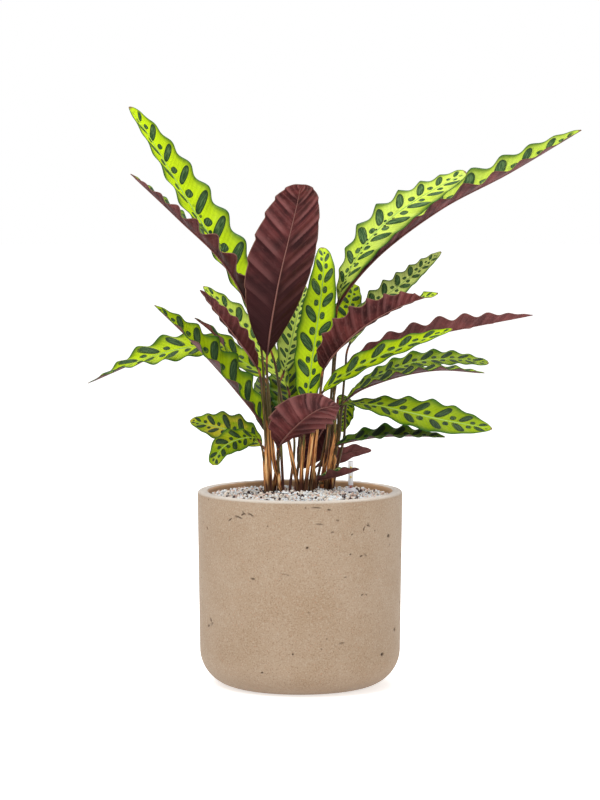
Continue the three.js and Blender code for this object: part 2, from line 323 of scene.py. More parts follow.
    def stretched(self, vector: object, scale: Point) -> bpy.types.NodeSocket:
        """Stretches a pattern's coordinates.

        Args:
            vector: The coordinates.
            scale: How much along each axis.

        Returns:
            The new coordinates.
        """
        made = self.node("ShaderNodeVectorMath", operation="MULTIPLY")
        self.feed(made.inputs[0], vector)
        made.inputs[1].default_value = scale
        return made.outputs[0]

    def clouds(
        self, vector: object, scale: float, detail: float = 3.0, rough: float = 0.55
    ) -> bpy.types.NodeSocket:
        """Soft noise from 0 to 1.

        Args:
            vector: The coordinates.
            scale: How fine it is.
            detail: How many finer layers it has.
            rough: How strong they are.

        Returns:
            The noise.
        """
        made = self.node("ShaderNodeTexNoise")
        self.feed(made.inputs["Vector"], vector)
        made.inputs["Scale"].default_value = scale
        made.inputs["Detail"].default_value = detail
        made.inputs["Roughness"].default_value = rough
        return made.outputs[0]

    def grains(self, vector: object, scale: float) -> tuple[bpy.types.NodeSocket, bpy.types.NodeSocket]:
        """Cells with a number each.

        Args:
            vector: The coordinates.
            scale: How fine they are.

        Returns:
            The distance to the cell's middle, and the cell's own colour.
        """
        made = self.node("ShaderNodeTexVoronoi")
        self.feed(made.inputs["Vector"], vector)
        made.inputs["Scale"].default_value = scale
        return made.outputs["Distance"], made.outputs["Color"]

    def bump(self, height: object, depth: float) -> bpy.types.NodeSocket:
        """Relief from a height.

        Args:
            height: The height, about 0 to 1.
            depth: How far 1 stands up, in metres.

        Returns:
            The normal.
        """
        made = self.node("ShaderNodeBump")
        made.inputs["Distance"].default_value = depth
        self.feed(made.inputs["Height"], height)
        return made.outputs[0]

    def surface(
        self, colour: object, roughness: object, normal: object = None, **fixed: object
    ) -> bpy.types.Material:
        """Ends the material in a principled surface.

        Args:
            colour: Its colour.
            roughness: Its roughness.
            normal: Its relief.
            fixed: Other sockets' fixed values, with underscores for spaces.

        Returns:
            The finished material.
        """
        shader = self.node("ShaderNodeBsdfPrincipled")
        self.feed(shader.inputs["Base Color"], linear(colour) if isinstance(colour, tuple) else colour)
        self.feed(shader.inputs["Roughness"], roughness)
        if normal is not None:
            self.feed(shader.inputs["Normal"], normal)
        for key, value in fixed.items():
            shader.inputs[key.replace("_", " ")].default_value = value
        out = self.node("ShaderNodeOutputMaterial")
        self.feed(out.inputs[0], shader.outputs[0])
        return self.material


# --- Finishes -------------------------------------------------------------------------------
@dataclass(frozen=True)
class OvalRow:
    """One row of ovals on each half of a leaf, as shares of a step along it and of the half across.

    offset is where in its step an oval stands and middle how far out, half_run and half_out are its
    half lengths along and across, and lean is how far it is righted from the veins' slant, so that a
    small one is round.
    """

    offset: float
    middle: float
    half_run: object
    half_out: object
    lean: float = 0.0


@dataclass(frozen=True)
class UpperSide:
    """The leaf's upper side: lime green with dark green ovals along each half and a dark margin."""

    lime: Colour = (200, 228, 12)
    # The colour that painted light pales brightly lit leaves towards.
    pale: Colour = (224, 236, 150)
    yellow: Colour = (222, 200, 52)
    # The leaf's own darker green, also the colour of its painted shade.
    deep: Colour = (66, 92, 0)
    oval: Colour = (46, 78, 39)
    # The ovals' dark edges, also their painted shade on shaded leaves.
    oval_dark: Colour = (20, 33, 18)
    oval_streak: Colour = (104, 134, 84)
    margin: Colour = (36, 84, 18)
    dry_tip: Colour = (128, 100, 62)
    rib: Colour = (156, 190, 92)
    veins: int = 6
    big_middle: float = 0.45
    small_row: OvalRow = OvalRow(0.5, 0.24, 0.13, 0.15, 0.5)
    dot_rows: tuple[OvalRow, OvalRow] = (
        OvalRow(0.22, 0.10, 0.06, 0.065, 0.5),
        OvalRow(0.76, 0.09, 0.055, 0.06, 0.5),
    )
    stray_run: float = 0.05
    stray_out: float = 0.03
    smallest: float = 0.88
    size_spread: float = 0.24
    squareness: float = 2.4

    def oval_mask(
        self, g: Graph, run: object, out: object, side: object, seed: object, row: OvalRow
    ) -> tuple[bpy.types.NodeSocket, bpy.types.NodeSocket]:
        """One row of ovals on each half of the leaf.

        Args:
            g: The graph.
            run: The count of ovals along the veins' rows.
            out: The share of the way from the midrib to the margin.
            side: Which half of the leaf.
            seed: The leaf's own number.
            row: The row.

        Returns:
            The mask, and how far out from the oval's middle each place is, 1 at its edge.
        """
        moved = g.minus(run, row.offset)
        cell = g.math("FLOOR", moved)
        along = g.minus(g.minus(moved, cell), 0.5)
        chance = g.node("ShaderNodeTexWhiteNoise", noise_dimensions="3D")
        g.feed(chance.inputs[0], g.vector(cell, g.plus(side, row.offset), seed))
        first, second, third = g.channels(chance.outputs["Color"])
        along = g.minus(along, g.swing(first, self.stray_run))
        across = g.minus(g.minus(out, row.middle), g.swing(second, self.stray_out))
        size = g.scaled(third, self.size_spread, self.smallest)
        along = g.scaled(across, row.lean, along)
        away = []
        for offset, half in ((along, row.half_run), (across, row.half_out)):
            share = g.math("ABSOLUTE", g.math("DIVIDE", offset, g.times(size, half)))
            away.append(g.math("POWER", share, self.squareness))
        depth = g.plus(*away)
        return g.step(depth, 1.12, 0.9), depth

    def make(self) -> bpy.types.Material:
        """Builds the material.

        Returns:
            The material.
        """
        g = Graph("leaf_upper")
        run, half = g.lines("pattern")
        length, tone = g.lines("place")
        dots, ageing, seed = g.traits("trait")
        girth, reach, _ = g.traits("figure")
        out = g.math("ABSOLUTE", half)
        side = g.math("GREATER_THAN", half, 0.0)
        rows = (OvalRow(0.0, self.big_middle, girth, reach), self.small_row, *self.dot_rows)
        masks = [self.oval_mask(g, run, out, side, seed, row) for row in rows]
        (big, depth), (small, small_depth), (dot_a, _), (dot_b, _) = masks
        basal = g.times(dots, g.step(length, 0.62, 0.5))
        tiny = g.times(g.math("MAXIMUM", dot_a, dot_b), basal)
        ovals = g.math("MAXIMUM", g.math("MAXIMUM", big, small), tiny)
        shown = g.times(g.step(length, 0.985, 0.96), g.step(length, 0.02, 0.06))
        ovals = g.times(ovals, shown)

        place = g.place()
        blotch = g.clouds(place, 26.0)
        fine = g.clouds(g.vector(g.times(run, 2.2), g.times(out, 5.0), seed), 3.0, 4.0)
        felt = g.clouds(g.vector(g.times(run, 11.0), g.times(out, 1.6), seed), 2.0, 3.0)
        vein = g.math("SINE", g.times(run, 2 * math.pi * self.veins))
        vein = g.times(vein, g.step(length, 0.92, 0.75))
        uneven = g.swing(blotch, 0.25)
        # Painted light and shade: below 1 a leaf's green is shaded towards deep green, above 1 paled
        # towards pale, with random unevenness.
        shade = g.plus(g.minus(1.0, tone), uneven, clamp=True)
        lime = g.mix(shade, self.lime, self.deep)
        painted_paling = g.times(g.minus(g.minus(tone, 1.0), uneven), 1.4, clamp=True)
        lime = g.mix(painted_paling, lime, self.pale)
        mottle = g.times(g.step(fine, 0.45, 0.75), g.step(length, 0.9, 0.7))
        lime = g.mix(g.times(mottle, 0.2), lime, self.deep)
        aged = g.times(ageing, g.step(g.clouds(place, 60.0), 0.42, 0.6))
        lime = g.mix(aged, lime, self.yellow)
        lime = g.mix(g.scaled(vein, 0.05, 0.05), lime, self.deep)
        core = g.step(g.math("MINIMUM", depth, small_depth), 0.85, 0.3)
        streak = g.times(core, g.step(felt, 0.42, 0.62))
        oval = g.mix(g.scaled(core, -0.5, 0.5), self.oval, self.oval_dark)
        oval = g.mix(g.times(streak, 0.75), oval, self.oval_streak)
        # Painted shade: the ovals of shaded leaves are darkened as well.
        oval = g.mix(g.scaled(tone, -0.75, 0.95, clamp=True), oval, self.oval_dark)
        band = g.plus(out, g.swing(blotch, 0.12))
        colour = g.mix(g.times(g.step(out, 0.25, 0.9), 0.25), lime, self.deep)
        colour = g.mix(g.times(g.step(band, 0.7, 1.0), 0.85), colour, self.margin)
        colour = g.mix(ovals, colour, oval)
        colour = g.mix(g.step(out, 0.045, 0.02), colour, self.rib)
        colour = g.mix(g.times(g.step(out, 0.945, 0.97), 0.85), colour, self.margin)
        colour = g.mix(g.step(length, 0.985, 0.997), colour, self.dry_tip)
        height = g.plus(g.times(vein, 0.5), g.times(g.step(out, 0.0, 0.05), 1.5))
        roughness = g.scaled(fine, 0.16, 0.4)
        return g.surface(colour, roughness, g.bump(height, 0.00018), Specular_IOR_Level=0.14)


@dataclass(frozen=True)
class UnderSide:
    """The leaf's underside: maroon and satin, pleated along its veins, with a thin pale margin."""

    maroon: Colour = (98, 45, 44)
    # The underside's darker maroon: random dark patches, and painted shade in its pleats' valleys,
    # grooves and low part.
    dark_and_shade: Colour = (44, 14, 16)
    # Its paler pink: random pale patches, and the painted highlight on its pleats' crests and on brightly
    # lit leaves.
    pale_and_highlight: Colour = (160, 106, 103)
    margin: Colour = (118, 82, 70)
    pleats: int = 2
    hairs: int = 8

    def make(self) -> bpy.types.Material:
        """Builds the material.

        Returns:
            The material.
        """
        g = Graph("leaf_underside")
        run, half = g.lines("pattern")
        length, tone = g.lines("place")
        _, _, seed = g.traits("trait")
        _, _, ridges = g.traits("figure")
        out = g.math("ABSOLUTE", half)
        place = g.place()
        fine = g.clouds(g.vector(g.times(run, 4.0), g.times(out, 2.0), seed), 3.0, 4.0)
        pleat = g.math("SINE", g.times(run, 2 * math.pi * self.pleats))
        hair = g.math("SINE", g.times(run, 2 * math.pi * self.hairs))
        colour = g.mix(g.step(g.clouds(place, 40.0), 0.3, 0.7), self.maroon, self.dark_and_shade)
        # Painted highlight on the pleats' crests and painted shade in their valleys.
        colour = g.mix(g.times(g.step(pleat, 0.4, 1.0), 0.12), colour, self.pale_and_highlight)
        colour = g.mix(g.times(g.step(pleat, -0.5, -1.0), 0.3), colour, self.dark_and_shade)
        colour = g.mix(g.times(g.step(fine, 0.5, 0.8), 0.25), colour, self.pale_and_highlight)
        # Painted shade, darker towards the blade's base, on leaves that get less light.
        shaded = g.times(g.step(length, 0.95, 0.1), g.scaled(tone, -1.3, 1.55, clamp=True))
        colour = g.mix(shaded, colour, self.dark_and_shade)
        # Painted light: brightly lit leaves are paled towards the highlight colour.
        colour = g.mix(g.minus(tone, 1.3, clamp=True), colour, self.pale_and_highlight)
        # Painted highlight along each pleat's crest, and painted shade in the groove beside it.
        phase = g.minus(g.math("FRACT", run), 0.5)
        reach = g.times(ridges, g.times(g.step(out, 0.06, 0.35), g.step(length, 0.1, 0.65)))
        groove_shade = g.times(g.step(phase, -0.2, -0.1), g.step(phase, -0.01, -0.06))
        fold = g.times(g.step(phase, 0.45, 0.03), g.step(phase, -0.03, 0.02))
        colour = g.mix(g.times(g.times(fold, reach), 0.3), colour, self.pale_and_highlight)
        colour = g.mix(g.times(g.times(groove_shade, reach), 0.65), colour, self.dark_and_shade)
        colour = g.mix(g.step(out, 0.965, 0.985), colour, self.margin)
        height = g.plus(g.times(pleat, 0.5), g.times(hair, 0.1))
        roughness = g.scaled(fine, 0.2, 0.42)
        return g.surface(colour, roughness, g.bump(height, 0.0004), Specular_IOR_Level=0.1)


@dataclass(frozen=True)
class StalkFinish:
    """A leaf's stalk: brown at the foot, olive green above, maroon with an orange mark at the blade."""

    foot: Colour = (78, 40, 32)
    golden: Colour = (188, 134, 78)
    green: Colour = (100, 104, 30)
    maroon: Colour = (64, 28, 29)
    mark: Colour = (164, 92, 48)
    rib: Colour = (120, 76, 68)

    def make(self) -> bpy.types.Material:
        """Builds the material.

        Returns:
            The material.
        """
        g = Graph("leaf_stalk")
        run, around = g.lines("pattern")
        greening, _, seed = g.traits("trait")
        place = g.place()
        grid = g.vector(g.times(run, 4.0), g.times(around, 1.6), g.times(seed, 30.0))
        long_noise = g.clouds(grid, 2.0, 4.0)
        patchy = g.plus(run, g.swing(long_noise, 0.15))
        colour = g.mix(g.step(patchy, 0.35, 0.55), self.foot, self.maroon)
        green = g.times(greening, g.times(g.step(patchy, 0.3, 0.5), g.step(patchy, 0.95, 0.8)))
        colour = g.mix(green, colour, self.green)
        mark = g.times(g.step(run, 0.93, 0.95), g.step(run, 0.99, 0.97))
        colour = g.mix(g.times(mark, 0.6), colour, self.mark)
        colour = g.mix(g.step(run, 1.0, 1.12), colour, self.rib)
        streak = g.step(g.clouds(g.stretched(place, (1.0, 1.0, 0.06)), 500.0), 0.5, 0.68)
        streak = g.times(streak, g.step(run, 1.0, 0.98))
        colour = g.mix(g.times(streak, 0.4), colour, self.golden)
        return g.surface(colour, 0.5, g.bump(long_noise, 0.0004), Specular_IOR_Level=0.35)


@dataclass(frozen=True)
class SheathFinish:
    """The dry papery sheaths round the stalks' feet: golden tan with dark lengthwise streaks."""

    tan: Colour = (234, 170, 104)
    pale: Colour = (252, 220, 164)
    brown: Colour = (158, 88, 56)
    dark: Colour = (30, 13, 15)

    def make(self) -> bpy.types.Material:
        """Builds the material.

        Returns:
            The material.
        """
        g = Graph("stalk_sheath")
        run, around = g.lines("pattern")
        golden, _, seed = g.traits("trait")
        grid = g.vector(g.times(run, 1.3), g.times(around, 3.2), g.times(seed, 40.0))
        fibre = g.clouds(grid, 2.0, 4.0, 0.6)
        lengthwise = g.vector(run, g.times(around, 2.6), g.times(seed, 17.0))
        wide = g.clouds(lengthwise, 1.7, 3.0)
        colour = g.mix(g.step(fibre, 0.4, 0.56), self.brown, self.tan)
        colour = g.mix(g.times(g.step(fibre, 0.54, 0.68), 0.85), colour, self.pale)
        darkness = g.scaled(golden, 0.14, 0.43)
        darkness = g.plus(darkness, g.times(g.step(run, 0.0, 0.25), 0.05))
        patch = g.math("DIVIDE", g.minus(wide, darkness), 0.04, clamp=True)
        colour = g.mix(g.times(patch, 0.9), colour, self.dark)
        foot = g.step(g.scaled(fibre, 0.3, run), 0.54, 0.34)
        colour = g.mix(g.times(foot, 0.85), colour, self.dark)
        return g.surface(colour, 0.75, g.bump(fibre, 0.0008), Specular_IOR_Level=0.2)


@dataclass(frozen=True)
class StoneFinish:
    """Cast stone of the planter: beige, sandy and matt, with specks, faint clouds and painted shade in
    its pits.
    """

    beige: Colour = (161, 140, 118)
    warm: Colour = (153, 130, 106)
    pale: Colour = (176, 161, 142)
    rim: Colour = (236, 228, 217)
    # The inside wall: its own more orange tone, painted lighter than the outside wall to make up for the
    # shade inside the bowl.
    inner: Colour = (204, 164, 124)
    # The dark specks' colour, also the painted shade inside the pits and cracks.
    pit: Colour = (72, 56, 42)
    shade: Colour = (120, 98, 78)
    dark_sand: Colour = (128, 100, 76)
    red_sand: Colour = (180, 112, 82)
    inner_reach: float = 0.1125

    def make(self) -> bpy.types.Material:
        """Builds the material.

        Returns:
            The material.
        """
        g = Graph("cast_stone")
        place = g.place()
        pit, rim, _ = g.traits("trait")
        cloud = g.clouds(place, 14.0, 5.0, 0.6)
        sand = g.clouds(place, 900.0, 2.0, 0.7)
        coarse = g.clouds(place, 320.0, 3.0, 0.65)
        drawn = g.clouds(g.stretched(place, (1.0, 1.0, 3.0)), 40.0, 4.0)
        grain = g.clouds(place, 560.0, 1.0, 0.5)
        distance, cell = g.grains(place, 700.0)
        chance, _, _ = g.channels(cell)
        near = g.step(distance, 0.45, 0.2)
        dark_speck = g.times(g.math("GREATER_THAN", chance, 0.93), near)
        red_speck = g.times(g.math("LESS_THAN", chance, 0.035), near)
        colour = g.mix(g.step(cloud, 0.35, 0.68), self.beige, self.warm)
        colour = g.mix(g.times(g.step(drawn, 0.5, 0.75), 0.15), colour, self.pale)
        colour = g.mix(g.times(g.step(coarse, 0.35, 0.7), 0.22), colour, self.warm)
        colour = g.mix(g.times(g.step(sand, 0.5, 0.8), 0.4), colour, self.pale)
        colour = g.mix(g.times(g.step(grain, 0.54, 0.7), 0.5), colour, self.pale)
        colour = g.mix(g.times(g.step(grain, 0.46, 0.3), 0.42), colour, self.dark_sand)
        colour = g.mix(g.times(dark_speck, 0.45), colour, self.pit)
        colour = g.mix(g.times(red_speck, 0.5), colour, self.red_sand)
        colour = g.mix(g.times(rim, 0.85), colour, self.rim)
        # Painted shade inside the pits and cracks, darker the deeper they are.
        colour = g.mix(pit, colour, self.pit)
        # Painted light: the inside wall below the rim gets the lighter inner colour.
        x, y, z = g.axes(place)
        reach = g.math("SQRT", g.plus(g.times(x, x), g.times(y, y)))
        inner = g.times(g.step(reach, self.inner_reach + 0.001, self.inner_reach), g.step(z, 0.1, 0.12))
        inner = g.times(inner, 0.9)
        colour = g.mix(inner, colour, self.inner)
        colour = g.mix(g.times(g.step(z, 0.04, 0.0), 0.35), colour, self.shade)
        height = g.plus(g.times(sand, 0.35), g.times(coarse, 0.65))
        roughness = g.scaled(coarse, 0.12, 0.8)
        return g.surface(
            colour, roughness, g.bump(height, 0.0005), Specular_IOR_Level=0.2,
            Sheen_Weight=0.12, Sheen_Roughness=0.5,
        )


@dataclass(frozen=True)
class GrainFinish:
    """One kind of mineral grain, mottled."""

    name: str
    main: Colour
    other: Colour
    pore: Colour = (150, 130, 120)

    def make(self) -> bpy.types.Material:
        """Builds the material.

        Returns:
            The material.
        """
        g = Graph("grain_" + self.name)
        place = g.place()
        patch = g.clouds(place, 420.0, 3.0, 0.6)
        pores = g.clouds(place, 2200.0, 2.0, 0.7)
        colour = g.mix(g.step(patch, 0.35, 0.65), self.main, self.other)
        colour = g.mix(g.times(g.step(pores, 0.55, 0.75), 0.07), colour, self.pore)
        return g.surface(
            colour, 0.8, g.bump(pores, 0.0003), Specular_IOR_Level=0.5,
            Sheen_Weight=0.35, Sheen_Roughness=0.5,
        )


@dataclass(frozen=True)
class ClearFinish:
    """Clear or frosted moulded plastic, the frosted kind given a painted glow that stands in for the
    light spreading inside it.
    """

    name: str
    tint: Colour
    haze: Colour
    alpha: float
    glow: float = 0.0

    def make(self) -> bpy.types.Material:
        """Builds the material.

        Returns:
            The material.
        """
        g = Graph(self.name)
        haze = g.clouds(g.place(), 180.0, 2.0)
        colour = g.mix(g.step(haze, 0.4, 0.7), self.tint, self.haze)
        return g.surface(
            colour, 0.12, g.bump(haze, 0.0001), Alpha=self.alpha, IOR=1.49, Coat_Weight=0.4,
            Emission_Color=(1, 1, 1, 1), Emission_Strength=self.glow,
        )


@dataclass(frozen=True)
class MouldedFinish:
    """Coloured moulded plastic with a faint grain."""

    name: str
    main: Colour
    other: Colour

    def make(self) -> bpy.types.Material:
        """Builds the material.

        Returns:
            The material.
        """
        g = Graph(self.name)
        haze = g.clouds(g.place(), 400.0, 2.0)
        colour = g.mix(g.step(haze, 0.35, 0.65), self.main, self.other)
        return g.surface(colour, 0.35, g.bump(haze, 0.0001))


# --- Leaves ---------------------------------------------------------------------------------
@dataclass(frozen=True)
class LeafShape:
    """One leaf as it grows, in millimetres, degrees and shares of its blade.

    root, stem and blade are its line from the granulate to the tip, in the frame's own axes, and
    half_width, turn, fold and widest shape its blade, as in the part's solids. pitch is the step from
    one big oval to the next at the widest place, feet where a big oval's foot stands on the left and
    the right half, and vein the angles between those halves' veins and the midrib.

    frill is the margin's wave and scallop the outline's, both as shares of the half width, sharp how
    pointed their crests are, saw how far they rise fast and sink slowly, and inward how soon the wave
    dies away from the margin. blunt is how round the tip is, which begins the sooner the smaller
    shoulder is, calm how flat the base stays, and curl where along the blade the tip begins to turn
    over and by how many degrees it does.

    oval is a big oval's half breadth and half length, as shares of a step and of the half width.
    dots, ageing and green are how much the leaf has of small dots, of yellow patches and of green on its
    stalk, the number after green sets its painted light and shade: below 1 its green is painted in shade,
    deeper, and its underside darker, above 1 its green is painted paler and its underside lighter, and
    sheath how high its dry sheath reaches above the granulate.
    """

    name: str
    root: tuple[float, float]
    stem: tuple[Point, ...]
    blade: tuple[Point, ...]
    half_width: float
    turn: tuple[float, float]
    fold: float
    widest: float
    pitch: float = 0.16
    feet: tuple[float, float] = (0.3, 0.36)
    vein: tuple[float, float] = (52.0, 52.0)
    frill: float = 0.16
    scallop: float = 0.04
    sharp: float = 0.15
    saw: float = 0.0
    inward: float = 1.6
    blunt: float = 0.3
    shoulder: float = 2.0
    calm: float = 0.0
    curl: tuple[float, float] = (1.0, 0.0)
    oval: tuple[float, float] = (0.21, 0.36)
    dots: float = 0.0
    ageing: float = 0.0
    green: float = 0.3
    tone: float = 0.7
    sheath: float = 0.0


